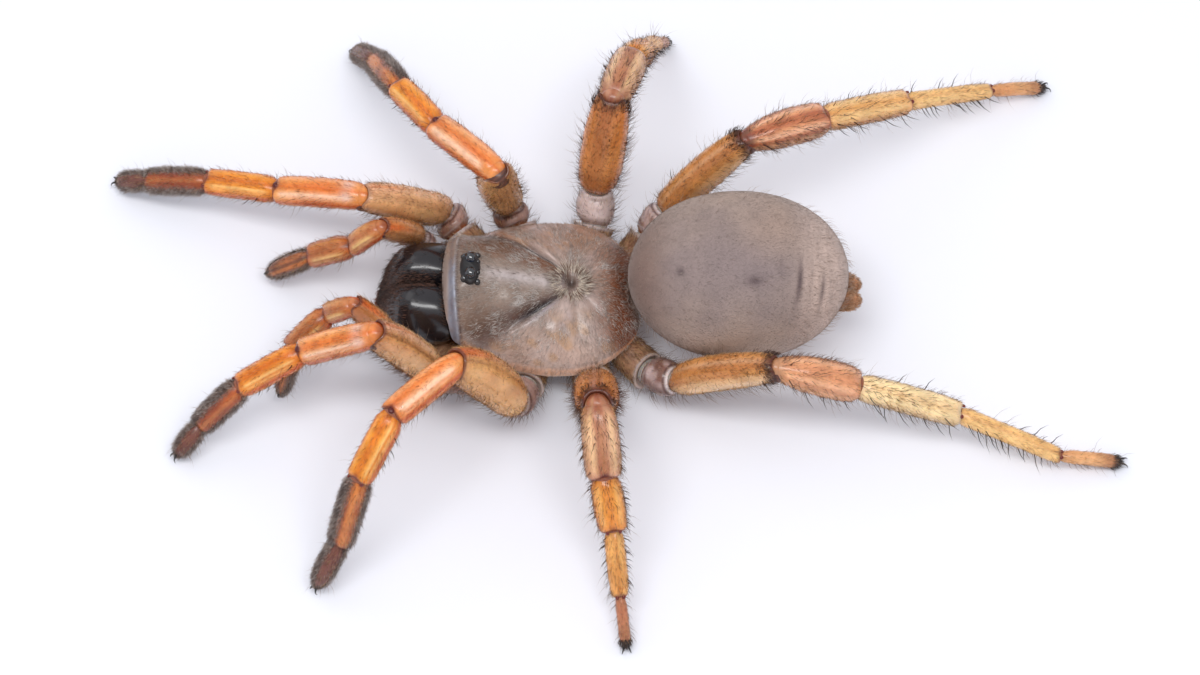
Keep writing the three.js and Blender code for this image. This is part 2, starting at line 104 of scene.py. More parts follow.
# ------------------------------------------------------------------ meshes
def build(name, verts, polys, colour=None, mat=None, uv=None, smooth=True, slots=None):
    """verts (n, 3) in mm; polys is a list of index arrays, each (m, 3) or (m, 4)."""
    me = bpy.data.meshes.new(name)
    verts = (np.asarray(verts, float) + SHIFT) * MM
    verts[:, 2] = np.maximum(verts[:, 2], 0.0)  # nothing goes through the floor
    me.vertices.add(len(verts))
    me.vertices.foreach_set("co", verts.astype(np.float32).ravel())
    polys = [np.asarray(p, np.int64) for p in polys if len(p)]
    loops = np.concatenate([p.ravel() for p in polys])
    sizes = np.concatenate([np.full(len(p), p.shape[1]) for p in polys])
    me.loops.add(len(loops))
    me.loops.foreach_set("vertex_index", loops.astype(np.int32))
    me.polygons.add(len(sizes))
    starts = np.concatenate([[0], np.cumsum(sizes)[:-1]])
    me.polygons.foreach_set("loop_start", starts.astype(np.int32))
    me.polygons.foreach_set("loop_total", sizes.astype(np.int32))
    if slots is not None:
        me.polygons.foreach_set("material_index", np.asarray(slots, np.int32))
    me.update(calc_edges=True)
    me.validate()
    me.polygons.foreach_set("use_smooth", np.full(len(me.polygons), smooth))
    if colour is not None:
        c = np.ones((len(verts), 4), np.float32)
        c[:, :3] = np.clip(colour, 0, 1)
        a = me.color_attributes.new("tint", "FLOAT_COLOR", "POINT")
        a.data.foreach_set("color", c.ravel())
    if uv is not None:
        layer = me.uv_layers.new(name="OFBake")
        idx = np.empty(len(me.loops), np.int32)
        me.loops.foreach_get("vertex_index", idx)
        layer.data.foreach_set("uv", np.asarray(uv, np.float32)[idx].ravel())
    ob = bpy.data.objects.new(name, me)
    bpy.context.scene.collection.objects.link(ob)
    for m in (mat if isinstance(mat, (list, tuple)) else [mat]):
        if m is not None:
            me.materials.append(m)
    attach(ob, "root")
    return ob


def grid_faces(rows, cols, base=0, wrap=True, flip=False):
    i = np.arange(rows - 1)[:, None]
    j = np.arange(cols if wrap else cols - 1)[None, :]
    jn = (j + 1) % cols
    a, b = base + i * cols + j, base + i * cols + jn
    c, d = base + (i + 1) * cols + jn, base + (i + 1) * cols + j
    f = np.stack([a, b, c, d], -1).reshape(-1, 4)
    return f[:, ::-1] if flip else f


def fan(centre, ring, flip=False):
    ring = np.asarray(ring)
    f = np.stack([np.full(len(ring), centre), ring, np.roll(ring, -1)], -1)
    return f[:, ::-1] if flip else f


class Bag:
    """Collects several closed shells in one mesh."""

    def __init__(self):
        self.v, self.f, self.c, self.s, self.n = [], [], [], [], 0

    def add(self, verts, polys, colour, slot=0):
        for p in polys:
            if len(p):
                self.f.append(np.asarray(p) + self.n)
                self.s.append(np.full(len(p), slot))
        self.v.append(verts)
        self.c.append(np.broadcast_to(colour, verts.shape))
        self.n += len(verts)

    def object(self, name, mats):
        order = sorted(range(len(self.f)), key=lambda i: 0)
        return build(name, np.concatenate(self.v), [self.f[i] for i in order],
                     np.concatenate(self.c), mats, slots=np.concatenate([self.s[i] for i in order]))


def facing_out(verts, polys):
    """Turns the faces over if the closed shell has them pointing in."""
    v = 0.0
    for p in polys:
        p = np.asarray(p)
        for k in range(1, p.shape[1] - 1):
            a, b, c = verts[p[:, 0]], verts[p[:, k]], verts[p[:, k + 1]]
            v += np.einsum("ij,ij->", a, np.cross(b, c))
    return polys if v > 0 else [np.asarray(p)[:, ::-1] for p in polys]


# ------------------------------------------------------------------ hairs
class Coat:
    """Hairs as thin closed horns: long ones bend at a waist (ten faces), the short pile is straight (four)."""

    def __init__(self, name, seed):
        self.name = name
        self.rng = np.random.default_rng(seed)
        self.v, self.c, self.uv = [], [], []
        self.pv, self.pc, self.puv = [], [], []

    def add(self, root, nrm, lie, length, radius, lift, c0, c1, uv, droop=0.5, sink=0.04, stray=0.2, thick_mid=0.8, plain=False):
        n = len(root)
        if n == 0:
            return
        rng = self.rng
        nrm, lie = unit(nrm), unit(lie - (lie * nrm).sum(-1, keepdims=True) * nrm)
        side = np.cross(nrm, lie)
        lie = unit(lie + side * rng.normal(0, stray, (n, 1)))
        lift = np.broadcast_to(np.asarray(lift, float), (n,)) * rng.uniform(0.7, 1.3, n)
        length = np.broadcast_to(np.asarray(length, float), (n,)) * rng.uniform(0.7, 1.2, n)
        radius = np.broadcast_to(np.asarray(radius, float), (n,))
        d0 = np.cos(lift)[:, None] * lie + np.sin(lift)[:, None] * nrm
        d1l = lift * (1 - droop)
        d1 = np.cos(d1l)[:, None] * lie + np.sin(d1l)[:, None] * nrm
        if plain:
            r0 = root - nrm * 0.02
            a = unit(np.cross(d0, nrm + 0.01))
            b = np.cross(d0, a)
            out = np.empty((n, 4, 3))
            for k in range(3):
                th = 2 * math.pi * k / 3
                out[:, k] = r0 + (math.cos(th) * a + math.sin(th) * b) * radius[:, None]
            out[:, 3] = root + unit(d0 + d1) * length[:, None]
            c0, c1 = np.broadcast_to(c0, (n, 3)), np.broadcast_to(c1, (n, 3))
            self.pv.append(out.reshape(-1, 3))
            self.pc.append(np.stack([c0, c0, c0, c1], 1).reshape(-1, 3))
            patch = np.array([[0, 0], [1, 0], [.5, .4], [.5, 1]]) * 0.003
            self.puv.append((np.clip(uv, 0.001, 0.995)[:, None, :] + patch[None]).reshape(-1, 2))
            return
        r0 = root - nrm * sink
        mid = root + d0 * (length * 0.5)[:, None]
        tip = mid + d1 * (length * 0.5)[:, None]
        a = unit(np.cross(d0, nrm + 0.01))
        b = np.cross(d0, a)
        out = np.empty((n, 7, 3))
        for k in range(3):
            th = 2 * math.pi * k / 3
            o = (math.cos(th) * a + math.sin(th) * b) * radius[:, None]
            out[:, k] = r0 + o
            out[:, 3 + k] = mid + o * thick_mid
        out[:, 6] = tip
        col = np.empty((n, 7, 3))
        c0, c1 = np.broadcast_to(c0, (n, 3)), np.broadcast_to(c1, (n, 3))
        col[:, :3] = c0[:, None]
        col[:, 3:6] = (0.5 * c0 + 0.5 * c1)[:, None]
        col[:, 6] = c1
        patch = np.array([[0, 0], [1, 0], [.5, .3], [.1, .6], [.9, .6], [.5, .8], [.5, 1]]) * 0.003
        u = np.clip(uv, 0.001, 0.995)[:, None, :] + patch[None]
        self.v.append(out.reshape(-1, 3))
        self.c.append(col.reshape(-1, 3))
        self.uv.append(u.reshape(-1, 2))

    def object(self, mat):
        self.v.append(np.empty((0, 3)))
        self.c.append(np.empty((0, 3)))
        self.uv.append(np.empty((0, 2)))
        v = np.concatenate(self.v)
        n = len(v) // 7
        t = np.array([[2, 1, 0], [0, 1, 4], [0, 4, 3], [1, 2, 5], [1, 5, 4], [2, 0, 3], [2, 3, 5],
                      [3, 4, 6], [4, 5, 6], [5, 3, 6]])
        f = (np.arange(n)[:, None, None] * 7 + t[None]).reshape(-1, 3)
        m = sum(len(p) for p in self.pv) // 4
        t = np.array([[2, 1, 0], [0, 1, 3], [1, 2, 3], [2, 0, 3]])
        g = len(v) + (np.arange(m)[:, None, None] * 4 + t[None]).reshape(-1, 3)
        return build(self.name, np.concatenate([v] + self.pv), [f, g], np.concatenate(self.c + self.pc), mat,
                     np.concatenate(self.uv + self.puv), smooth=True)


# ------------------------------------------------------------------ materials
def new_material(name):
    m = bpy.data.materials.new(name)
    m.use_nodes = True
    nt = m.node_tree
    for n in list(nt.nodes):
        nt.nodes.remove(n)
    out = nt.nodes.new("ShaderNodeOutputMaterial")
    b = nt.nodes.new("ShaderNodeBsdfPrincipled")
    nt.links.new(b.outputs[0], out.inputs[0])
    return m, nt, b


def shell_material(name, rough=0.3, coat=0.0, sss=0.0, sss_radius=(0.9, 0.35, 0.1), mottle=0.16, mottle_mm=0.5,
                   grain_mm=0.09, bump_strength=0.25, bump_depth=0.012, rough_var=0.12, sheen=0.0, spec=0.5,
                   stretch=(1, 1, 1)):
    """Cuticle or skin: the vertex tint, broken up by blotches and a fine grain, with a grainy gloss."""
    m, nt, b = new_material(name)
    N, L = nt.nodes, nt.links
    tc = N.new("ShaderNodeTexCoord")
    mp = N.new("ShaderNodeMapping")
    mp.inputs["Scale"].default_value = stretch
    L.new(tc.outputs["Object"], mp.inputs[0])
    at = N.new("ShaderNodeAttribute")
    at.attribute_name = "tint"
    n1 = N.new("ShaderNodeTexNoise")
    n1.inputs["Scale"].default_value = 1000.0 / mottle_mm / 2
    n1.inputs["Detail"].default_value = 4
    L.new(mp.outputs[0], n1.inputs["Vector"])
    r1 = N.new("ShaderNodeMapRange")
    r1.inputs["From Min"].default_value = 0.3
    r1.inputs["From Max"].default_value = 0.7
    r1.inputs["To Min"].default_value = 1 - mottle
    r1.inputs["To Max"].default_value = 1 + mottle
    L.new(n1.outputs["Fac"], r1.inputs["Value"])
    n2 = N.new("ShaderNodeTexNoise")
    n2.inputs["Scale"].default_value = 1000.0 / grain_mm / 2
    n2.inputs["Detail"].default_value = 3
    L.new(mp.outputs[0], n2.inputs["Vector"])
    r2 = N.new("ShaderNodeMapRange")
    r2.inputs["From Min"].default_value = 0.3
    r2.inputs["From Max"].default_value = 0.7
    r2.inputs["To Min"].default_value = 1 - mottle * 0.5
    r2.inputs["To Max"].default_value = 1 + mottle * 0.5
    L.new(n2.outputs["Fac"], r2.inputs["Value"])
    mul = N.new("ShaderNodeMath")
    mul.operation = "MULTIPLY"
    L.new(r1.outputs[0], mul.inputs[0])
    L.new(r2.outputs[0], mul.inputs[1])
    vm = N.new("ShaderNodeVectorMath")
    vm.operation = "SCALE"
    L.new(at.outputs["Color"], vm.inputs[0])
    L.new(mul.outputs[0], vm.inputs["Scale"])
    L.new(vm.outputs[0], b.inputs["Base Color"])
    rr = N.new("ShaderNodeMapRange")
    rr.inputs["From Min"].default_value = 0.3
    rr.inputs["From Max"].default_value = 0.7
    rr.inputs["To Min"].default_value = max(rough - rough_var, 0.03)
    rr.inputs["To Max"].default_value = min(rough + rough_var, 1.0)
    L.new(n1.outputs["Fac"], rr.inputs["Value"])
    L.new(rr.outputs[0], b.inputs["Roughness"])
    bp = N.new("ShaderNodeBump")
    bp.inputs["Strength"].default_value = bump_strength
    bp.inputs["Distance"].default_value = bump_depth * MM
    L.new(n2.outputs["Fac"], bp.inputs["Height"])
    L.new(bp.outputs[0], b.inputs["Normal"])
    b.inputs["Specular IOR Level"].default_value = spec
    if coat:
        b.inputs["Coat Weight"].default_value = coat
        b.inputs["Coat Roughness"].default_value = 0.12
    if sss:
        b.inputs["Subsurface Weight"].default_value = sss
        b.inputs["Subsurface Radius"].default_value = sss_radius
        b.inputs["Subsurface Scale"].default_value = 0.0005
    if sheen:
        b.inputs["Sheen Weight"].default_value = sheen
        b.inputs["Sheen Roughness"].default_value = 0.45
    return m


def lens(m, ior, coat_ior=1.5):
    b = [n for n in m.node_tree.nodes if n.type == "BSDF_PRINCIPLED"][0]
    b.inputs["IOR"].default_value = ior
    b.inputs["Coat IOR"].default_value = coat_ior
    b.inputs["Coat Roughness"].default_value = 0.05
    return m


def hair_material(name, rough=0.5, spec=0.35):
    m, nt, b = new_material(name)
    N, L = nt.nodes, nt.links
    at = N.new("ShaderNodeAttribute")
    at.attribute_name = "tint"
    tc = N.new("ShaderNodeTexCoord")
    n1 = N.new("ShaderNodeTexNoise")
    n1.inputs["Scale"].default_value = 2600
    L.new(tc.outputs["Object"], n1.inputs["Vector"])
    r1 = N.new("ShaderNodeMapRange")
    r1.inputs["From Min"].default_value = 0.3
    r1.inputs["From Max"].default_value = 0.7
    r1.inputs["To Min"].default_value = 0.82
    r1.inputs["To Max"].default_value = 1.18
    L.new(n1.outputs["Fac"], r1.inputs["Value"])
    vm = N.new("ShaderNodeVectorMath")
    vm.operation = "SCALE"
    L.new(at.outputs["Color"], vm.inputs[0])
    L.new(r1.outputs[0], vm.inputs["Scale"])
    L.new(vm.outputs[0], b.inputs["Base Color"])
    b.inputs["Roughness"].default_value = rough
    b.inputs["Specular IOR Level"].default_value = spec
    return m


MAT = {
    "leg": shell_material("leg_shell", rough=0.27, coat=0.16, sss=0.10, mottle=0.14, mottle_mm=0.5, grain_mm=0.07, bump_strength=0.3, bump_depth=0.014, rough_var=0.07, spec=0.42),
    "membrane": shell_material("joint_skin", rough=0.4, sss=0.3, mottle=0.12, mottle_mm=0.3, grain_mm=0.06, bump_strength=0.5),
    "carapace": shell_material("carapace_shell", rough=0.3, coat=0.25, mottle=0.12, mottle_mm=0.8, grain_mm=0.1, bump_strength=0.3, bump_depth=0.015, sheen=0.1),
    "abdomen": shell_material("abdomen_skin", rough=0.72, mottle=0.07, mottle_mm=0.5, grain_mm=0.1, bump_strength=0.6, bump_depth=0.03, sheen=0.3, spec=0.25),
    "jaw": shell_material("jaw_shell", rough=0.24, coat=0.3, mottle=0.2, mottle_mm=0.5, grain_mm=0.07, bump_strength=0.08, bump_depth=0.006, rough_var=0.03),
    "claw": shell_material("claw_horn", rough=0.22, coat=0.3, mottle=0.15, mottle_mm=0.2, grain_mm=0.05, bump_strength=0.1, rough_var=0.05),
    "coxa": shell_material("hip_shell", rough=0.42, mottle=0.2, mottle_mm=0.4, bump_strength=0.5, bump_depth=0.02, sheen=0.1),
    "eye": shell_material("eye_lens", rough=0.03, coat=0.0, mottle=0.25, mottle_mm=0.2, grain_mm=0.05, bump_strength=0.02, rough_var=0.02),
    "spinneret": shell_material("spinneret_skin", rough=0.6, mottle=0.2, mottle_mm=0.3, bump_strength=0.5, sheen=0.2),
    "hair": hair_material("hairs", rough=0.45, spec=0.4),
    "pile": hair_material("fuzz", rough=0.6, spec=0.3),
}

lens(MAT["eye"], 2.0, 1.5)
lens(MAT["jaw"], 1.52, 1.5)

# ------------------------------------------------------------------ the colours of the animal (display values)
ORANGE = srgb(222, 122, 36)
ORANGE_DEEP = srgb(196, 92, 22)
ORANGE_PALE = srgb(232, 170, 98)
YELLOW_OR = srgb(216, 146, 66)
TAN = srgb(204, 150, 88)
BROWN = srgb(120, 74, 40)
BROWN_DK = srgb(62, 38, 24)
RING = srgb(118, 48, 26)
SPOT = srgb(84, 20, 16)
BRUSH = srgb(70, 50, 42)
BRUSH_LT = srgb(112, 86, 74)
MEMBRANE = srgb(196, 168, 150)
PALE = srgb(206, 196, 188)
TAUPE = srgb(150, 128, 114)
TAUPE_LT = srgb(186, 168, 156)
TAUPE_DK = srgb(92, 70, 58)
RUST = srgb(112, 64, 36)
SILVER = srgb(212, 202, 194)
BLACK = srgb(30, 22, 20)

# ------------------------------------------------------------------ legs: the same joints as the solids
LEGS = {
    "r1": [[-6.5, 2.55, 1.95], [-8.7, 5.0, 2.05], [-9.52, 6.2, 2.6], [-14.43, 4.9, 7.39], [-19.75, 6.42, 5.25], [-24.18, 7.75, 3.85], [-28.06, 8.69, 2.21], [-30.29, 9.42, 0.72]],
    "l1": [[-6.5, -2.55, 1.95], [-8.75, -4.75, 2.1], [-10.1, -5.5, 3.9], [-13.36, -6.2, 10.97], [-17.79, -5.65, 7.39], [-21.61, -6.8, 5.13], [-24.25, -8.03, 2.2], [-25.86, -9.46, 0.68]],
    "r2": [[-3.95, 2.6, 1.9], [-5.15, 5.4, 2.1], [-5.76, 6.57, 3.0], [-6.33, 5.3, 9.85], [-9.95, 9.08, 8.57], [-12.33, 12.46, 7.24], [-14.01, 16.27, 3.83], [-15.57, 18.78, 0.71]],
    "l2": [[-3.95, -2.6, 1.9], [-4.6, -5.4, 2.05], [-5.1, -7.1, 3.3], [-8.6, -7.9, 10.3], [-12.18, -11.3, 10.6], [-14.19, -14.3, 8.3], [-15.53, -16.5, 3.8], [-17.12, -18.2, 0.7]],
    "r3": [[-1.35, 2.6, 1.9], [-0.37, 5.6, 2.1], [-0.19, 7.14, 3.95], [0.78, 9.86, 10.77], [1.9, 13.52, 8.97], [2.6, 15.59, 6.29], [3.49, 18.04, 3.01], [4.2, 19.58, 0.4]],
    "l3": [[-1.35, -2.6, 1.9], [-0.34, -5.2, 2.1], [-0.2, -6.66, 3.8], [-0.17, -10.43, 10.12], [0.24, -13.88, 7.63], [0.78, -16.23, 5.11], [1.2, -19.37, 2.32], [1.55, -21.86, 0.4]],
    "r4": [[1.25, 2.55, 1.85], [2.9, 4.6, 2.05], [4.05, 6.0, 3.42], [8.84, 7.7, 9.36], [13.63, 9.9, 8.08], [18.97, 12.74, 5.05], [24.51, 15.24, 1.93], [28.04, 16.31, 0.4]],
    "l4": [[1.25, -2.55, 1.85], [2.95, -4.4, 2.05], [4.6, -5.65, 3.37], [10.49, -7.2, 8.39], [15.43, -7.31, 6.09], [21.7, -8.03, 3.65], [27.93, -9.81, 1.45], [31.75, -9.75, 0.4]],
}
PALPS = {
    "rp": [[-8.75, 1.3, 1.75], [-10.5, 3.75, 1.95], [-11.2, 4.25, 3.0], [-13.3, 2.85, 7.2], [-15.08, 2.61, 5.24], [-17.75, 2.88, 3.33], [-20.64, 2.66, 1.27]],
    "lp": [[-8.75, -1.3, 1.75], [-10.7, -3.7, 1.95], [-11.9, -4.3, 2.9], [-14.81, -2.75, 7.8], [-16.44, -2.5, 6.13], [-18.66, -3.73, 4.03], [-19.56, -5.59, 1.12]],
}
JOINT_R = {
    "1": [0.95, 1.15, 0.9, 0.78, 0.78, 0.72, 0.62, 0.4],
    "2": [0.95, 1.15, 0.9, 0.8, 0.8, 0.74, 0.66, 0.42],
    "3": [0.95, 1.2, 0.95, 0.85, 0.86, 0.66, 0.42, 0.28],
    "4": [0.95, 1.15, 0.9, 0.72, 0.82, 0.66, 0.42, 0.28],
    "p": [0.8, 0.85, 0.66, 0.58, 0.6, 0.66, 0.4],
}
MID_R = {
    "1": [[1.2, 1.1], [1.1, 1.1], [0.98, 1.3], [0.92, 1.0], [0.86, 0.92], [0.84, 0.88], [0.74, 0.72]],
    "2": [[1.2, 1.1], [1.1, 1.1], [0.98, 1.3], [0.94, 1.02], [0.88, 0.94], [0.88, 0.9], [0.8, 0.76]],
    "3": [[1.2, 1.1], [1.15, 1.15], [1.3, 1.4], [1.15, 1.2], [0.98, 1.0], [0.62, 0.64], [0.36, 0.37]],
    "4": [[1.2, 1.05], [1.1, 1.1], [0.95, 1.28], [1.0, 1.1], [0.88, 0.94], [0.56, 0.58], [0.44, 0.44]],
    "p": [[0.9, 0.85], [0.8, 0.85], [0.68, 0.85], [0.7, 0.76], [0.82, 0.84], [0.78, 0.76]],
}
PART = ["coxa", "trochanter", "femur", "patella", "tibia", "metatarsus", "tarsus"]
# along each piece: place, and how far the outline stands between the joint's radius (0) and the full one (1)
OUTLINE = {
    "coxa": ([0, .15, .4, .75, .93, 1], [.2, .6, 1, 1, .8, .55]),
    "trochanter": ([0, .12, .35, .65, .86, 1], [-.4, .3, 1.1, 1.12, .6, .05]),
    "femur": ([0, .05, .14, .32, .58, .82, .94, 1], [-.25, .2, .62, 1, 1, .72, .42, .22]),
    "patella": ([0, .05, .16, .38, .66, .86, .95, 1], [-.2, .25, .7, 1, 1.05, .92, .7, .45]),
    "tibia": ([0, .05, .15, .35, .62, .85, .95, 1], [-.15, .3, .75, 1, 1, .8, .62, .4]),
    "metatarsus": ([0, .05, .15, .35, .65, .86, .95, 1], [-.2, .25, .7, 1, .95, .7, .5, .3]),
    "tarsus": ([0, .06, .18, .36, .55, .74, .88, 1], [-.3, .35, .95, 1.12, .98, .55, .0, -.5]),
}
FULL = {"coxa": 1.0, "trochanter": 1.06, "femur": 1.06, "patella": 1.0, "tibia": 1.0, "metatarsus": 0.93, "tarsus": 0.82}
# how much narrower a piece is at its near joint and at its far lip
NECK = {"coxa": (0.1, -0.08), "trochanter": (0.34, 0.14), "femur": (0.24, 0.07), "patella": (0.0, 0.08), "tibia": (0.2, 0.08),
        "metatarsus": (0.3, 0.09), "tarsus": (0.34, 0.0)}
BOW = {"femur": 0.28, "patella": 0.12, "tibia": 0.06, "metatarsus": 0.05, "tarsus": 0.05}


# how far each leg is rolled about its own length, in degrees, for its markings and its brushes
TURN = {
    "r1": {"femur": 22, "patella": -8, "tibia": -8, "metatarsus": -26, "tarsus": -26},
    "l1": {"femur": 10, "patella": -6, "tibia": -6, "metatarsus": -54, "tarsus": -44},
    "r2": {"femur": -10, "patella": -8, "tibia": -8, "metatarsus": -22, "tarsus": -22},
    "l2": {"femur": 0, "patella": 8, "tibia": -4, "metatarsus": -46, "tarsus": -38},
    "r4": {"femur": 12, "patella": 12, "tibia": 12, "metatarsus": 12, "tarsus": 12},
    "l4": {"femur": 12, "patella": 12, "tibia": 14, "metatarsus": 14, "tarsus": 14},
    "rp": {"femur": -20, "patella": -14, "tibia": -14, "tarsus": -20},
    "lp": {"femur": -10, "patella": -14, "tibia": -20, "tarsus": -30},
}


class Piece:
    """One piece of a leg, from joint s to joint s + 1, as a surface of (place along, angle round)."""

    def __init__(self, chain, k, s, across, thin=0.955):
        P = np.asarray(chain, float)
        self.kind = PART[s] if k != "p" else ["coxa", "trochanter", "femur", "patella", "tibia", "tarsus"][s]
        self.k, self.s = k, s
        dirs = unit(np.diff(P, axis=0))
        self.p0, self.len, self.d = P[s], np.linalg.norm(P[s + 1] - P[s]), dirs[s]
        self.w = unit(across - across @ self.d * self.d)
        u = np.cross(self.w, self.d)
        if u[2] < 0 and abs(self.d[2]) < 0.98:
            u = -u
        self.u = u
        self.n0 = dirs[s] if s in (0, 3) else unit(dirs[s - 1] + dirs[s])  # the kneecap starts square, as a dome
        self.n1 = dirs[s] if s == len(dirs) - 1 else unit(dirs[s] + dirs[s + 1])
        self.last = s == len(dirs) - 1
        jr, mid = JOINT_R[k], np.array(MID_R[k][s]) * FULL[self.kind]
        if k in ("3", "4") and self.kind in ("metatarsus", "tarsus"):
            mid = np.array(MID_R[k][s])
            jr = jr[:-1] + [0.3]
        if k == "4" and self.kind == "patella":
            mid = mid * 1.12
        if k == "2" and self.kind == "femur":
            mid = mid * np.array([1.16, 1.08])
        xs, ys = OUTLINE[self.kind]
        if k in ("3", "4") and self.kind == "tarsus":
            xs, ys = [0, .06, .2, .5, .8, 1], [-.2, .2, .8, 1, 1, 1]
        if k == "4" and self.kind == "patella":
            ys = [-.2, 0, .4, .95, 1.12, .95, .62, .35]
        f = curve(xs, ys)
        base = lambda t: jr[s] + (jr[s + 1] - jr[s]) * t
        near, far_ = NECK[self.kind]
        neck = lambda t: (1 - near * np.exp(-((t * self.len / 0.42) ** 2))) * (1 - far_ * np.exp(-(((1 - t) * self.len / 0.16) ** 2)))
        self.rl = lambda t: thin * (base(t) + (mid[0] - base(t)) * f(t)) * neck(t)
        self.rd = lambda t: thin * (base(t) + (mid[1] - base(t)) * f(t)) * neck(t)
        self.bow = BOW.get(self.kind, 0.0)
        self.lobe = {"femur": 0.1, "patella": 0.17, "tibia": 0.16, "metatarsus": 0.09}.get(self.kind, 0.0)
        self.r = thin * float(max(mid))
        self.turn = 0.0
        self.wash = None

    def slim(self, a, b):
        rl, rd = self.rl, self.rd
        self.rl = lambda t: rl(t) * (1 - (1 - a) * np.sin(np.pi * t))
        self.rd = lambda t: rd(t) * (1 - (1 - b) * np.sin(np.pi * t))

    def at(self, t, th):
        """Points at t (0..1, may run a little past) and angle th; th = pi/2 is the back of the leg."""
        t, th = np.broadcast_arrays(np.asarray(t, float), np.asarray(th, float))
        tc = np.clip(t, 0, 1)
        rl, rd = self.rl(tc), self.rd(tc)
        if self.last:
            cap = np.sqrt(np.clip(1 - np.clip((tc - 0.80) / 0.2, 0, 1) ** 2, 0.02, 1))
            rl, rd = rl * cap, rd * cap
        c, sn = np.cos(th), np.sin(th)
        e = {"femur": 0.74, "patella": 0.86, "tibia": 0.9}.get(self.kind, 1.0)  # flattened sides
        c = np.sign(c) * np.abs(c) ** e
        belly = np.where(sn < 0, 0.94, 1.0)
        o = (rl * c)[..., None] * self.w + (rd * sn * belly)[..., None] * self.u
        far = 0.45 * np.maximum(rl, rd)
        t0 = np.clip(-(o @ self.n0) / (self.d @ self.n0), -far, far)
        t1 = np.clip(-(o @ self.n1) / (self.d @ self.n1), -far, far)
        t1 = t1 + self.lobe * (c * c - 0.55 * np.clip(sn, 0, 1) ** 6)
        if self.last:
            t1 = t1 * 0
        along = t0 + (self.len + t1 - t0) * t
        arch = self.bow * np.sin(np.pi * tc)
        p = self.p0 + o + along[..., None] * self.d + arch[..., None] * self.u
        return p

    def frame(self, t, th):
        """Point, outward normal and the direction towards the tip."""
        p = self.at(t, th)
        dt = self.at(t + 0.01, th) - self.at(t - 0.01, th)
        da = self.at(t, th + 0.02) - self.at(t, th - 0.02)
        n = np.cross(da, dt)
        mid = self.p0 + self.d * (self.len * t)[..., None] + (self.bow * np.sin(np.pi * np.clip(t, 0, 1)))[..., None] * self.u
        flip = ((p - mid) * n).sum(-1, keepdims=True) < 0
        n = unit(np.where(flip, -n, n))
        return p, n, unit(dt)


# how single pieces differ from their pair on the other side: a colour and how much of it; the wash on the R3 hip is a
# painted highlight on its ball, and the one on the R1 thigh is painted light over its face
WASH = {
    ("l4", "tibia"): (srgb(255, 232, 186), 0.5), ("r4", "tibia"): (srgb(214, 134, 60), 0.3),
    ("l4", "patella"): (srgb(242, 178, 130), 0.5), ("r1", "femur"): (srgb(240, 186, 140), 0.3),
    ("r3", "trochanter"): (srgb(226, 206, 200), 0.55), ("r1", "metatarsus"): (srgb(120, 50, 20), 0.2),
}


def piece_colour(pc, t, th, p):
    """Tint of the bare cuticle at each point of a leg piece."""
    c = pair_colour(pc, t, th, p)
    return c if pc.wash is None else mixc(c, pc.wash[0], pc.wash[1])


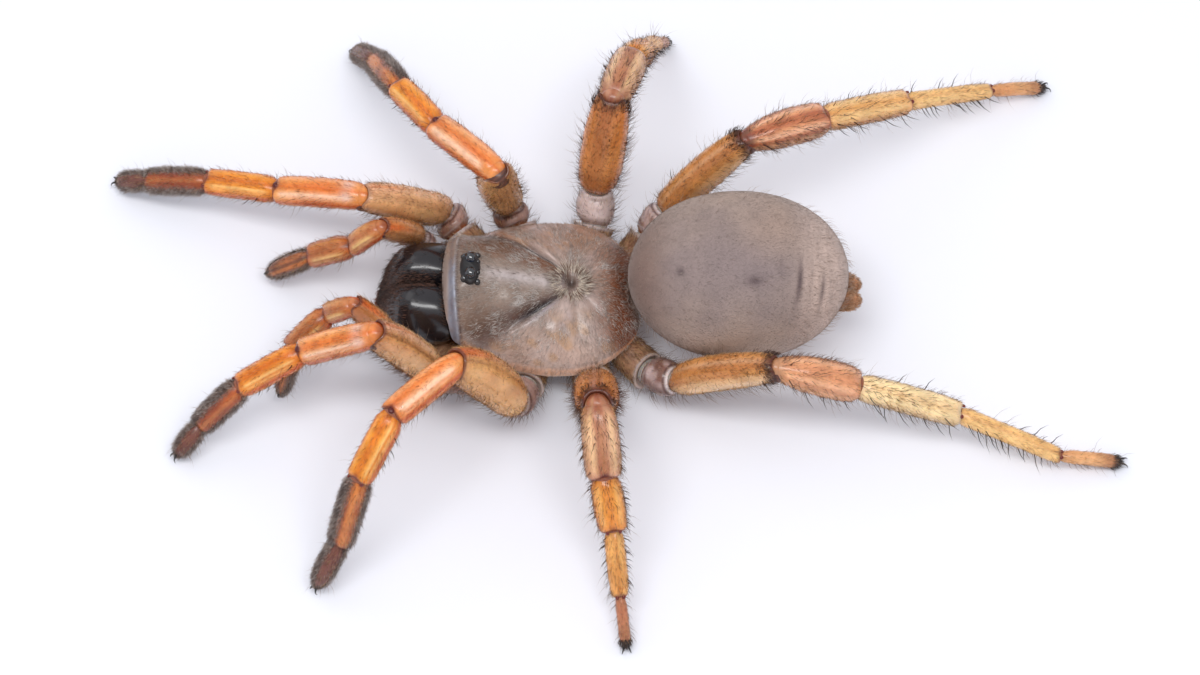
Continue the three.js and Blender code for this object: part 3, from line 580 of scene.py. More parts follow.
def pair_colour(pc, t, th, p):
    k, kind = pc.k, pc.kind
    t, th = np.broadcast_arrays(np.asarray(t, float), np.asarray(th, float) - pc.turn)
    back = np.sin(th)                       # 1 on the back, -1 under the leg
    away = np.abs(np.arctan2(np.abs(np.cos(th)), np.sin(th)))   # angle from the back's midline, 0..pi
    v = noise(p, 1.3, 0)
    w = noise(p, 0.5, 1)
    front = k in ("1", "2", "p")
    dp, dd = t * pc.len, (1 - t) * pc.len    # mm from the near and from the far joint
    # fine streaks that run along the piece
    st = noise(np.stack([np.cos(th) * pc.r, np.sin(th) * pc.r, 0.08 * dp + 3.1 * pc.s], -1), 0.22, 2)
    # the lit side of the front legs: the painted highlight stripes are full there and weak on the other side
    lit_side = np.where(np.cos(th) > 0, 1.0, 0.25) if front else 1.0
    if kind == "coxa":
        c = mixc(srgb(122, 84, 60), srgb(164, 122, 94), 0.5 + 0.4 * v + 0.25 * w)
        return mixc(c, srgb(208, 196, 194), bump(dd, 0.1, 0.14) * 0.85)
    if kind == "trochanter":
        c = mixc(srgb(206, 182, 178), srgb(140, 100, 86), 0.42 + 0.45 * v + 0.3 * w)
        # painted highlight: a pale patch on the back of the hip's ball
        c = mixc(c, srgb(226, 214, 214), bump(away, 0.5, 0.3) * bump(dp, 0.9, 0.35) * 0.5)
        c = mixc(c, srgb(88, 52, 42), bump(away, 1.35, 0.6) * 0.85)
        c = mixc(c, srgb(112, 72, 58), sstep(0.3, 1.0, w + v) * 0.6)
        if k in ("1", "2"):
            c = mixc(c, srgb(146, 100, 78), 0.6)
        c = mixc(c, srgb(222, 212, 210), bump(dd, 0.05, 0.08) * (0.8 if k in ("3", "4") else 0.4))
        c = mixc(c, srgb(74, 42, 36), bump(dd, 0.2, 0.07) * 0.8)
        c = mixc(c, srgb(214, 200, 200), bump(dp, 0.55, 0.1) * (0.6 if k in ("3", "4") else 0.25))
        return mixc(c, srgb(160, 88, 46), sstep(0.42, 0.2, dp) * 0.85)
    if kind == "femur":
        face = mixc(srgb(232, 180, 120), srgb(216, 156, 98), 0.5 + 0.45 * v + 0.15 * st)
        if k in ("3",):
            face = mixc(srgb(232, 152, 84), srgb(206, 122, 58), 0.5 + 0.45 * v + 0.3 * st)
        if k == "4":
            face = mixc(srgb(238, 192, 138), srgb(212, 156, 98), 0.4 + 0.45 * v + 0.2 * st)
            face = mixc(face, mixc(srgb(222, 154, 72), srgb(190, 118, 58), 0.5 + 0.4 * v + 0.4 * st), sstep(0.95, 0.6, away) * 0.85)
        if k == "p":
            face = mixc(srgb(206, 148, 98), srgb(180, 116, 70), 0.5 + 0.45 * v + 0.2 * st)
        top = srgb(222, 104, 34) if front else srgb(186, 116, 60)
        if k == "3":
            top = srgb(164, 96, 52)
        c = mixc(face, srgb(208, 140, 82), bump(away, 0.3, 0.5) * 0.45)
        c = mixc(c, srgb(236, 192, 150), bump(away, 0.24, 0.16) * (0.45 if front else 0.1) * sstep(0.9, 0.6, t))
        c = mixc(c, top, bump(away, 0.06, 0.26) * (sstep(0.35, 1.0, t) * 0.95 if front else 0.5 + 0.5 * t))
        c = mixc(c, srgb(138, 78, 40), bump(away, 0.66, 0.10) * (0.5 + 0.25 * st) * (0.7 if front else 0.2))
        c = mixc(c, srgb(246, 222, 184), bump(away, 0.16, 0.05) * (0.35 if k == "4" else 0.0) * (np.cos(th) > 0))
        c = mixc(c, srgb(196, 140, 92), sstep(0.45, 0.98, -back) * 0.5)
        c = mixc(c, srgb(140, 80, 46), np.exp(-dp / 0.45) * 0.65)
        c = mixc(c, srgb(160, 76, 36), np.exp(-dd / 0.5) * (0.55 if front else 0.7))
        if k == "1":
            c = mixc(c, srgb(238, 206, 176), bump(away, 0.2, 0.18) * sstep(0.15, 0.4, t) * 0.5)
            c = mixc(c, srgb(112, 62, 34), bump(away, 0.62, 0.10) * sstep(0.1, 0.3, t) * 0.6)
        if k in ("3", "4"):
            c = mixc(c, srgb(66, 36, 30), sstep(0.7, 0.2, dd) * (0.95 if k == "4" else 0.65) * (0.8 + 0.2 * w))
        return mixc(c, srgb(84, 34, 24), bump(dd, 0.04, 0.1) * 0.9)
    if kind in ("patella", "tibia"):
        if kind == "patella":
            mid = {"1": (242, 164, 84), "2": (246, 172, 100), "3": (234, 184, 146), "4": (228, 158, 112), "p": (210, 140, 84)}[k]
            edge = {"1": (216, 100, 22), "2": (226, 108, 28), "3": (164, 96, 54), "4": (176, 86, 48), "p": (168, 92, 48)}[k]
        else:
            mid = {"1": (238, 148, 38), "2": (242, 156, 46), "3": (236, 156, 64), "4": (250, 210, 148), "p": (200, 122, 62)}[k]
            edge = {"1": (212, 102, 14), "2": (218, 108, 18), "3": (218, 128, 46), "4": (234, 170, 92), "p": (160, 86, 40)}[k]
        mid, edge = srgb(*mid), srgb(*edge)
        c = mixc(mid, edge, 0.34 + 0.20 * v + (0.16 if front else 0.24) * st)
        # painted highlight: pale streaks over the upper half of the piece
        c = mixc(c, mixc(mid, srgb(255, 226, 160), 0.6), sstep(0.5, 1.3, st) * 0.4 * sstep(-0.2, 0.4, back))
        # bare pale stripes either side of the back, carrying a painted highlight that is full on the lit side of the
        # front legs; redder along the middle and low on the sides
        shine = srgb(255, 222, 196) if (kind == "patella" and k in ("1", "2")) else srgb(255, 222, 150)
        if k == "4" and kind == "patella":
            shine = srgb(248, 206, 176)
        c = mixc(c, mixc(mid, shine, 0.75), bump(away, 0.60, (0.30 if k == "2" else 0.20) if kind == "patella" and front else 0.14) * sstep(0.2, 0.8, dp) * sstep(0.2, 0.7, dd) * lit_side * (0.88 if kind == "patella" and front else 0.72 if front or k == "4" else 0.4))
        c = mixc(c, mixc(mid, shine, 0.6), bump(away, 0.95, 0.07) * sstep(0.3, 1.0, dp) * sstep(0.3, 0.9, dd) * lit_side * 0.45)
        c = mixc(c, edge, bump(away, 0.03, 0.18) * 0.7)
        c = mixc(c, edge, bump(away, 0.8, 0.06) * 0.5)
        c = mixc(c, srgb(196, 56, 24) if front else srgb(140, 64, 32), bump(away, 1.42, 0.26) * 0.75)
        if k == "1":
            # painted highlight: a pale patch on the back of the first legs' kneecaps
            c = mixc(c, srgb(226, 190, 176), np.exp(-((dp - 0.75) / 0.45) ** 2 - ((away - 0.45) / 0.4) ** 2) * (0.75 if kind == "patella" else 0.0))
        c = mixc(c, mixc(edge, srgb(196, 130, 84), 0.5), sstep(0.2, 0.9, -back) * 0.8)
        c = mixc(c, srgb(184, 76, 36), np.exp(-dp / 0.25) * (0.6 if kind == "tibia" else 0.25))
        c = mixc(c, srgb(196, 88, 40), np.exp(-dd / 0.25) * 0.45)
        c = mixc(c, srgb(102, 36, 24), bump(dd, 0.03, 0.07) * 0.85)
        if k in ("3", "4") and kind == "patella":
            c = mixc(c, srgb(70, 38, 32), sstep(0.6, 0.1, dp) * (0.8 if k == "4" else 0.3))
            c = mixc(c, srgb(142, 50, 32), bump(away, 1.0, 0.16) * (0.7 if k == "4" else 0.25))
            c = mixc(c, srgb(150, 56, 34), bump(away, 0.22, 0.07) * 0.55)
            c = mixc(c, srgb(240, 186, 136), bump(away, 1.38, 0.2) * 0.5)
        # the small dark spot on the back at the far joint
        if kind == "tibia":
            c = mixc(c, SPOT, np.exp(-(dp / 0.26) ** 2 - ((away * pc.r) / 0.26) ** 2) * 1.0)
        return mixc(c, SPOT, np.exp(-((dd - 0.08) / 0.26) ** 2 - ((away * pc.r) / 0.28) ** 2) * (1.0 if kind == "patella" else 0.6))
    if kind == "metatarsus":
        if front:
            deep = (178, 88, 38) if k == "1" else (214, 126, 56)
            c = mixc(srgb(*deep), srgb(140, 62, 32), 0.5 + 0.4 * v + 0.4 * st)
            c = mixc(c, srgb(232, 150, 84), bump(away, 0.08, 0.10) * 0.3)
            c = mixc(c, srgb(128, 62, 40), bump(away, 0.60, 0.22) * 0.7)
            c = mixc(c, srgb(134, 108, 96), sstep(0.9, 0.56, back))
            c = mixc(c, srgb(206, 100, 44), np.exp(-dp / 0.25) * 0.6)
            return mixc(c, srgb(84, 40, 26), bump(dd, 0.04, 0.1) * 0.7)
        c = mixc(srgb(246, 188, 110), srgb(228, 156, 80), 0.5 + 0.4 * v + 0.3 * st)
        if k == "4":
            c = mixc(c, srgb(248, 204, 138), 0.6 + 0.2 * st)
        c = mixc(c, srgb(190, 112, 54), bump(away, 0, 0.25) * 0.3)
        c = mixc(c, srgb(160, 84, 38), np.exp(-dp / 0.3) * 0.6)
        return mixc(c, srgb(124, 56, 30), bump(dd, 0.05, 0.14) * 0.8)
    # tarsus
    if front:
        top = srgb(188, 112, 64) if k == "p" else srgb(116, 68, 56)
        c = mixc(top, srgb(86, 54, 46), (0.3 if k == "p" else 0.5) + 0.3 * v + 0.4 * st)
        return mixc(c, srgb(122, 98, 88), sstep(0.86, 0.45, back))
    pale = 0.0 if k == "4" else 0.75
    c = mixc(srgb(232, 174, 120), srgb(206, 138, 88), 0.5 + 0.5 * v)
    c = mixc(c, srgb(176, 106, 78), pale + 0 * v)
    c = mixc(c, srgb(150, 90, 62), sstep(0.5, 0.85, t) * 0.6)
    return mixc(c, srgb(70, 42, 32), sstep(0.84, 0.98, t) * 0.9)


def add_piece(bag, pc, rows=46, cols=36):
    """A closed shell with an open-looking far rim: the surface turns in over the joint."""
    t_out = np.concatenate([np.linspace(0, 0.12, 9)[:-1], np.linspace(0.12, 0.86, rows - 24)[:-1], np.linspace(0.86, 1.0, 14)])
    th = np.linspace(0, 2 * np.pi, cols, endpoint=False) + 0.01
    T, H = np.meshgrid(t_out, th, indexing="ij")
    p = pc.at(T, H)
    p = p + 0.012 * noise(p, 0.9, 2)[..., None] * unit(p - (pc.p0 + pc.d * (pc.len * T)[..., None]))
    col = piece_colour(pc, T, H, p)
    rings = [p]
    cols_ = [col]
    if not pc.last:
        end = p[-1]
        centre = end.mean(0)
        inner = centre + (end - centre) * 0.86 + pc.d * 0.015
        deep = centre + (end - centre) * 0.80 - pc.d * 0.10
        rings += [inner[None], deep[None]]
        # the rim that turns in over the joint takes the joint's colour, with painted shade deeper in
        dk = mixc(RING, BROWN_DK, 0.6)
        if pc.kind in ("coxa", "trochanter"):
            dk = srgb(170, 150, 138)
        cols_ += [np.broadcast_to(dk, inner.shape)[None], np.broadcast_to(dk * 0.8, inner.shape)[None]]
    start = p[0]
    c0 = start.mean(0)
    neck = c0 + (start - c0) * 0.8 - pc.d * 0.1
    rings = [neck[None]] + rings
    # painted shade: the neck tucked into the piece before is darker
    cols_ = [(cols_[0][0] * 0.7)[None]] + cols_
    allp = np.concatenate(rings).reshape(-1, 3)
    allc = np.concatenate(cols_).reshape(-1, 3)
    nr = len(allp) // cols
    allp = np.concatenate([allp, [c0 - pc.d * 0.14], [allp[-cols:].mean(0)]])
    allc = np.concatenate([allc, [allc[0]], [allc[-1]]])
    faces = [grid_faces(nr, cols), fan(nr * cols, np.arange(cols), flip=True),
             fan(nr * cols + 1, (nr - 1) * cols + np.arange(cols))]
    bag.add(allp, facing_out(allp, faces), allc)


def ball(centre, radii, axes, rows=14, cols=20):
    """A closed ellipsoid of the given half axes along three directions."""
    th = np.linspace(0, 2 * np.pi, cols, endpoint=False)
    ph = np.linspace(0, np.pi, rows + 2)[1:-1]
    T, P_ = np.meshgrid(th, ph)
    q = np.stack([np.sin(P_) * np.cos(T), np.sin(P_) * np.sin(T), np.cos(P_)], -1).reshape(-1, 3)
    q = np.concatenate([q, [[0, 0, 1], [0, 0, -1]]])
    v = centre + (q * radii) @ np.asarray(axes)
    n = rows * cols
    f = [grid_faces(rows, cols), fan(n, np.arange(cols), flip=True), fan(n + 1, (rows - 1) * cols + np.arange(cols))]
    return v, facing_out(v, f), q


def horn(points, radii, cols=10):
    """A closed tapered tube through points, ending in a point."""
    P = np.asarray(points, float)
    d = unit(np.gradient(P, axis=0))
    ref = np.array([0.13, 0.97, 0.2])
    a = unit(np.cross(d, ref))
    b = np.cross(d, a)
    th = np.linspace(0, 2 * np.pi, cols, endpoint=False)
    ring = (np.cos(th)[None, :, None] * a[:, None] + np.sin(th)[None, :, None] * b[:, None]) * np.asarray(radii)[:, None, None]
    v = (P[:, None] + ring).reshape(-1, 3)
    n = len(v)
    v = np.concatenate([v, [P[0]], [P[-1] + d[-1] * radii[-1]]])
    f = [grid_faces(len(P), cols), fan(n, np.arange(cols), flip=True), fan(n + 1, (len(P) - 1) * cols + np.arange(cols))]
    return v, facing_out(v, f)


def bezier(p0, p1, p2, n):
    t = np.linspace(0, 1, n)[:, None]
    p0, p1, p2 = map(lambda a: np.asarray(a, float), (p0, p1, p2))
    return (1 - t) ** 2 * p0 + 2 * t * (1 - t) * p1 + t * t * p2


def make_leg(key, chain):
    k = key[1]
    name = f"leg_{key}" if k != "p" else ("palp_right" if key == "rp" else "palp_left")
    P = np.asarray(chain, float)
    h = P[-1] - P[2]
    h[2] = 0
    h = unit(h)
    across = np.array([-h[1], h[0], 0.0])
    n = len(P) - 1
    pcs = [Piece(P, k, s, across) for s in range(n)]
    if key == "l1":
        pcs[2].slim(0.94, 0.86)
    for pc in pcs:
        pc.turn = math.radians(TURN.get(key, {}).get(pc.kind, 0))
    seed = {"r1": 11, "l1": 12, "r2": 13, "l2": 14, "r3": 15, "l3": 16, "r4": 17, "l4": 18, "rp": 19, "lp": 20}[key]
    # --- shells
    for pc in pcs:
        pc.wash = WASH.get((name[4:6], pc.kind))
    bag = Bag()
    for pc in pcs:
        add_piece(bag, pc)
    # --- soft skin that bridges every joint
    for s in range(1, n):
        a, b = pcs[s - 1], pcs[s]
        knee = s == 3
        r = (1.0 if knee else 0.84) * min(float(a.rd(np.array(0.97))), float(b.rd(np.array(0.2))))
        axis = unit(a.d + b.d)
        w = across
        u = unit(np.cross(w, axis))
        w = np.cross(axis, u)
        if knee:
            # the dome of the kneecap, in line with the piece it belongs to
            rl, rd = float(b.rl(np.array(0.0))), float(b.rd(np.array(0.0)))
            v, f, q = ball(P[s], np.array([rl, rd, rd * 0.96]), [b.w, b.u, b.d], 26, 34)
            th = np.arctan2(q[:, 1], q[:, 0])
            c = piece_colour(b, np.zeros(len(v)), th, v)
            c = mixc(c, srgb(116, 48, 30), sstep(-0.45, -0.95, q[:, 2]) * 0.6)
            bag.add(v, f, c, slot=0)
            # the fold of dark soft skin on the inner side of the bend
            ub = unit(a.u + b.u)
            v, f, q = ball(P[s] - ub * 0.34 * r, np.array([r * 0.9, r * 0.86, r * 0.8]), [w, u, axis])
            bag.add(v, f, mixc(srgb(110, 66, 50), srgb(70, 40, 34), 0.5 + 0.5 * np.sin(q[:, 2] * 14)), slot=1)
        else:
            v, f, q = ball(P[s], np.array([r * 0.95, r * 1.0, r * 0.7]), [w, u, axis])
            soft = PALE if s <= 2 else mixc(srgb(150, 70, 44), srgb(186, 122, 88), 0.35)
            c = mixc(soft, mixc(soft, srgb(90, 60, 48), 0.5), 0.5 + 0.5 * np.sin(q[:, 2] * 16))
            bag.add(v, f, c, slot=1)
            # small dark horny spots where two pieces hinge
            spots = []
            if k in ("1", "2") and s == 4:
                spots = [(0.0, 0.2)]
            elif k in ("1", "2") and s == 5:
                spots = [(-0.85, 0.13), (0.85, 0.13)]
            elif k in ("3", "4") and s in (5, 6):
                spots = [(-0.6, 0.13), (0.6, 0.13)]
            for turn, size in spots:
                at = a.at(np.array(1.0), np.array(np.pi / 2 + turn))
                out = unit(at - P[s] - a.d * ((at - P[s]) @ a.d))
                side = np.cross(a.d, out)
                v, f, q = ball(at - out * 0.04 + a.d * 0.05, np.array([size, size * 0.62, size]), [side, out, a.d], 10, 14)
                bag.add(v, f, mixc(SPOT, srgb(120, 44, 30), 0.0 if s == 4 else 0.6) * np.ones((len(v), 1)), slot=0)
    body = bag.object(name + "_shell", [MAT["leg"], MAT["membrane"]])
    reps = [f"{name}_coxa", f"{name}_femur"] + ([f"{name}_patella", f"{name}_tibia", f"{name}_foot"] if k != "p" else [f"{name}_shank", f"{name}_tarsus"])
    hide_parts(*reps)
    # --- claws
    cb = Bag()
    tip = pcs[-1]
    end, dd, uu, ww = P[-1], tip.d, tip.u, tip.w
    rt = float(tip.rd(np.array(0.9)))
    if k in ("3", "4"):
        spread = [(-1, 0.64), (1, 0.64), (0, 0.34)]
    elif k == "p":
        spread = [(0, 0.3)]
    else:
        spread = [(-1, 0.46), (1, 0.46)]
    for sgn, ln in spread:
        base = end - dd * 0.12 + ww * sgn * 0.11 + uu * 0.16
        out = dd * ln + ww * sgn * 0.18
        lowest = -0.5 * ln
        pts = bezier(base, base + out * 0.75 + uu * 0.16 * ln / 0.5, base + out + uu * lowest * 0.8, 9)
        pts[:, 2] = np.maximum(pts[:, 2], 0.05)
        v, f = horn(pts, np.linspace(0.075, 0.014, 9), 8)
        cb.add(v, f, BLACK)
    claws = cb.object(name + "_claws", [MAT["claw"]])
    make_leg_hairs(name, k, pcs, seed)


def make_leg_hairs(name, k, pcs, seed):
    coat = Coat(name + "_hairs", seed)
    rng = coat.rng
    front = k in ("1", "2", "p")
    nj = len(pcs)
    few = 1.0
    for i, pc in enumerate(pcs):
        area = 2 * math.pi * pc.r * pc.len
        kind = pc.kind

        def place(count, tlo=0.02, thi=0.97, where=None):
            count = int(count * few)
            t = rng.uniform(tlo, thi, count)
            th = rng.uniform(0, 2 * np.pi, count)
            if where is not None:
                keep = rng.random(count) < where(t, th)
                t, th = t[keep], th[keep]
            p, n, d = pc.frame(t, th)
            uv = np.stack([(i + t) / nj, th / (2 * np.pi)], -1)
            return t, th, p, n, d, uv

        away = lambda th: np.abs(np.arctan2(np.abs(np.cos(th - pc.turn)), np.sin(th - pc.turn)))
        # bare bands: the flat faces of the thighs and the shining stripes of the shins
        if kind == "femur":
            bald = lambda t, th: 1 - 0.92 * bump(away(th), 1.35, 0.55) * sstep(0.05, 0.2, t)
        elif kind in ("patella", "tibia"):
            bald = lambda t, th: (1 - 0.8 * bump(away(th), 0.62, 0.26)) * (1 - 0.97 * np.exp(-(((1 - t) * pc.len - 0.2) / 0.42) ** 2 - (away(th) * pc.r / 0.4) ** 2)) * (
                1 - 0.95 * (kind == "tibia") * np.exp(-(t * pc.len / 0.3) ** 2 - (away(th) * pc.r / 0.36) ** 2))
        else:
            bald = None
        # the short coat that lies along the leg
        dens = {"coxa": 90, "trochanter": 22, "femur": 60, "patella": 56, "tibia": 62, "metatarsus": 56, "tarsus": 60}[kind]
        t, th, p, n, d, uv = place(area * dens, where=bald)
        base = piece_colour(pc, t, th, p)
        tone = rng.random(len(t)) + 0.22 * noise(p, 0.28, 3)
        deep = srgb(176, 78, 30) if front and kind in ("patella", "tibia", "metatarsus") else srgb(104, 52, 26)
        c0 = mixc(mixc(base, deep, 0.55), mixc(base, srgb(252, 214, 150), 0.42), (tone > 0.5) * 1.0)
        ln = {"coxa": 0.5, "trochanter": 0.36, "femur": 0.42, "patella": 0.36, "tibia": 0.38, "metatarsus": 0.34, "tarsus": 0.3}[kind]
        coat.add(p, n, d, ln, 0.0105, 0.32, c0, c0 * 0.9, uv, stray=0.3, plain=True)
        # longer bristles that stand out, most of them low on the sides
        dens = {"coxa": 6, "trochanter": 4.5, "femur": 5.5, "patella": 3.4, "tibia": 4.2, "metatarsus": 4.4, "tarsus": 3.0}[kind]
        if k == "3":
            dens *= 1.7
        if k == "4" and kind in ("patella", "tibia"):
            dens *= 1.2
        low = lambda t, th: (0.35 + 0.65 * sstep(0.5, 1.5, away(th))) * (bald(t, th) if bald is not None else 1.0)
        t, th, p, n, d, uv = place(area * dens * 1.4, where=low)
        under = kind in ("femur", "trochanter", "coxa")
        ln = np.where(np.sin(th) < 0.1, 1.0 if under else 0.66, 0.5) * (1.15 if k in ("3", "4") else 1.0)
        dark = srgb(96, 58, 38) if front and kind in ("patella", "tibia") else srgb(74, 46, 34)
        coat.add(p, n, d, ln, 0.0105, 0.72, dark, mixc(dark, srgb(150, 110, 80), 0.5), uv, stray=0.4, droop=0.4)
        # very long fine hairs
        t, th, p, n, d, uv = place(area * (0.45 if front and kind != "tarsus" else 0.9))
        coat.add(p, n, d, 0.95 if front else 1.2, 0.0095, 1.1, srgb(96, 72, 56), srgb(166, 140, 120), uv, stray=0.5, droop=0.3)
        # rows of short dark bristles on the back of the knees of legs III and IV
        if k in ("3", "4") and kind in ("patella", "tibia", "femur"):
            if kind == "femur":
                t, th, p, n, d, uv = place(260, 0.88, 0.995)
                coat.add(p, n, d, 0.5, 0.014, 0.7, srgb(48, 30, 26), srgb(96, 66, 52), uv, stray=0.4)
            if k == "4" and kind == "patella":
                t, th, p, n, d, uv = place(area * 14, 0.0, 0.9, lambda t, th: bump(away(th), 0.9, 0.5) * (np.cos(th) * (1 if name.startswith("leg_l") else -1) > 0))
                coat.add(p, n, d, 0.55, 0.0125, 0.8, srgb(70, 44, 40), srgb(130, 96, 86), uv, stray=0.35)
            if k == "3":
                t, th, p, n, d, uv = place(area * 10, where=lambda t, th: bump(away(th), 1.5, 0.4))
                coat.add(p, n, d, 0.46, 0.013, 0.8, srgb(60, 36, 30), srgb(110, 72, 54), uv, stray=0.35)
            t, th, p, n, d, uv = place(area * 11, where=lambda t, th: bump(away(th), 0.0, 0.8) * (sstep(0.7, 0.95, t) if kind == "femur" else sstep(0.75, 0.1, t) * 0.9 + 0.1))
            coat.add(p, n, d, 0.6, 0.015, 0.75, srgb(54, 32, 26), srgb(104, 66, 46), uv, stray=0.4)
        # foot brushes: a dense short pile under and beside the foot
        if front and kind in ("tarsus", "metatarsus"):
            up = lambda th: np.sin(th - pc.turn)
            if kind == "metatarsus" and k != "p":
                pile = lambda t, th: sstep(0.95, 0.55, up(th)) * sstep(-0.02, 0.14, t) * 0.95
            elif k == "p":
                pile = lambda t, th: sstep(0.7, 0.2, up(th)) * 0.7 + 0.3 * sstep(0.7, 0.95, t)
            else:
                pile = lambda t, th: sstep(0.92, 0.62, up(th)) * 0.95 + 0.16 * sstep(0.4, 0.95, t)
            t, th, p, n, d, uv = place(area * 400, 0.0, 1.0, pile)
            # the brush stands in small clumps, its tips paler than its depth
            clump = noise(p, 0.17, 1)
            tone = np.clip(0.45 + 0.42 * clump + rng.normal(0, 0.16, len(t)), 0, 1)
            c0 = mixc(srgb(70, 52, 46), srgb(146, 120, 108), tone)
            c1 = mixc(srgb(122, 104, 96), srgb(230, 216, 206), tone)
            side = sstep(0.9, 0.2, np.abs(up(th) - 0.1))
            ln = (0.30 if kind == "metatarsus" else 0.27) * (0.8 + 0.5 * side) - 0.10 * sstep(0.7, 1.0, t) * (kind == "tarsus")
            coat.add(p, n, d + 0.3 * clump[:, None] * np.cross(n, d), ln, 0.0125, 0.8 + 0.25 * clump, c0, c1, uv, stray=0.3, droop=0.2, plain=True)
        # dark tufts about the claws
        if kind == "tarsus":
            t, th, p, n, d, uv = place(130 if front else 190, 0.84, 0.99)
            coat.add(p, n, unit(d + 0.2 * n), 0.26 if front else 0.42, 0.014, 0.4 if front else 0.6, srgb(44, 34, 32), srgb(96, 80, 72), uv, stray=0.35)
        # stout black spines on the hind legs, fewer under the front ones
        spines = {"3": {"patella": 9, "tibia": 12, "metatarsus": 16}, "4": {"femur": 3, "patella": 4, "tibia": 14, "metatarsus": 22},
                  "1": {"tibia": 4}, "2": {"tibia": 4}, "p": {}}[k].get(kind, 0)
        if spines:
            cnt = spines
            t = (np.arange(cnt) + rng.uniform(0.2, 0.8, cnt)) / cnt * 0.86 + 0.08
            th = np.where(np.arange(cnt) % 4 == 0, rng.choice([0.25, 2.9], cnt) + rng.normal(0, 0.15, cnt), rng.choice([3.6, 5.8], cnt) + rng.normal(0, 0.3, cnt))
            p, n, d = pc.frame(t, th)
            uv = np.stack([(i + t) / nj, th / (2 * np.pi)], -1)
            coat.add(p, n, d, 1.15 if k == "4" else 0.62, 0.036, 0.95, srgb(40, 26, 20), srgb(24, 16, 14), uv, droop=0.25, thick_mid=0.7)
    ob = coat.object(MAT["hair"])


# ------------------------------------------------------------------ carapace
CX = [-9.62, -9.3, -8.6, -7.7, -6.6, -5.4, -4.2, -3.0, -1.8, -0.6, 0.5, 1.4, 2.1, 2.5]
c_w = curve(CX, [2.7, 3.25, 3.65, 4.0, 4.5, 4.9, 5.15, 5.28, 5.25, 4.95, 4.35, 3.6, 2.75, 1.7])
c_rim = curve(CX, [5.2, 4.65, 4.15, 3.75, 3.45, 3.25, 3.15, 3.1, 3.1, 3.1, 3.1, 3.12, 3.15, 3.2])
c_ridge = curve([-9.62, -9.3, -8.6, -7.7, -6.6, -5.4, -4.2, -3.0, -2.2, -1.4], [6.05, 6.65, 7.32, 7.55, 7.15, 6.72, 6.3, 5.72, 5.2, 4.6])
c_half = curve([-9.62, -8.6, -7.7, -6.6, -5.4, -4.2, -3.0, -2.0, -1.4], [3.3, 3.7, 3.7, 3.35, 2.75, 2.05, 1.3, 0.6, 0.35])  # half width of the raised head
c_chest = curve(CX, [0.6, 1.3, 2.1, 2.65, 3.05, 3.15, 3.05, 2.8, 2.38, 2.12, 1.82, 1.3, 0.72, 0.25])  # the chest's height over the rim
FOVEA = (-1.75, 0.0)


def carapace_z(x, y):
    w, rim = c_w(x) - 0.06, c_rim(x)
    q = np.clip(np.abs(y) / w, 0, 1)
    chest = rim + c_chest(x) * (1 - q ** 2.5) ** 0.78
    g = c_half(x)
    edge = rim + c_chest(x) * (1 - np.clip(g / w, 0, 0.97) ** 2.5) ** 0.78  # the chest's height at the groove
    rise = np.maximum(c_ridge(x) - edge, 0) * sstep(-1.3, -2.2, x)
    t = np.clip(np.abs(y) / g, 0, 1)
    head = edge + rise * (1 - t ** 1.75) ** 1.15
    k = sstep(1.08, 0.92, np.abs(y) / g) * sstep(-1.3, -2.0, x)
    z = chest * (1 - k) + np.maximum(head, edge * k + chest * (1 - k) - 0.3) * k
    # the front is all head: it falls to the rim at its sides
    f = sstep(-6.9, -8.7, x)
    front = rim + (c_ridge(x) - rim) * (1 - q ** 2.3) ** 0.66
    z = z * (1 - f) + front * f
    # groove beside the head, deepest near the pit, radial furrows and the pit itself
    lane = np.abs(y) / g
    z = z - (0.24 + 0.30 * bump(x, -4.0, 1.0)) * bump(lane, 1.05, 0.15) * sstep(-8.4, -6.8, x) * sstep(-1.7, -2.6, x)
    r = np.hypot(x - FOVEA[0], y)
    a = np.arctan2(np.abs(y), -(x - FOVEA[0]))
    for a0 in (1.1, 1.7, 2.3, 2.8):
        z = z - 0.075 * bump(a, a0, 0.13) * sstep(0.6, 1.3, r) * sstep(4.2, 2.6, r)
    z = z - 0.42 * np.exp(-(((x - FOVEA[0]) / 0.24) ** 2 + (y / 0.46) ** 2)) + 0.1 * bump(r, 0, 1.0)
    # a furrow sets off the smooth band along the front, and a low rolled edge runs round the rest
    band = x + 8.74 - 0.02 * y * y
    z = z - 0.05 * bump(band, 0, 0.09) + 0.02 * bump(band, -0.22, 0.14)
    z = z - 0.06 * bump(q, 0.945, 0.02) * sstep(-8.8, -8.0, x)
    return z


def carapace_xy(s, q):
    """Plan position of a point: s runs from the front edge to the back, q from -1 to 1 across."""
    x = CX[0] + (CX[-1] - CX[0]) * s
    y = q * (c_w(x) - 0.06)
    x = x - 0.55 * sstep(0.9, 1.0, s) * bump(y, 0, 1.1) * 1.1
    x = x + 0.30 * sstep(0.06, 0.0, s) * (np.abs(q) ** 2)
    return x, y


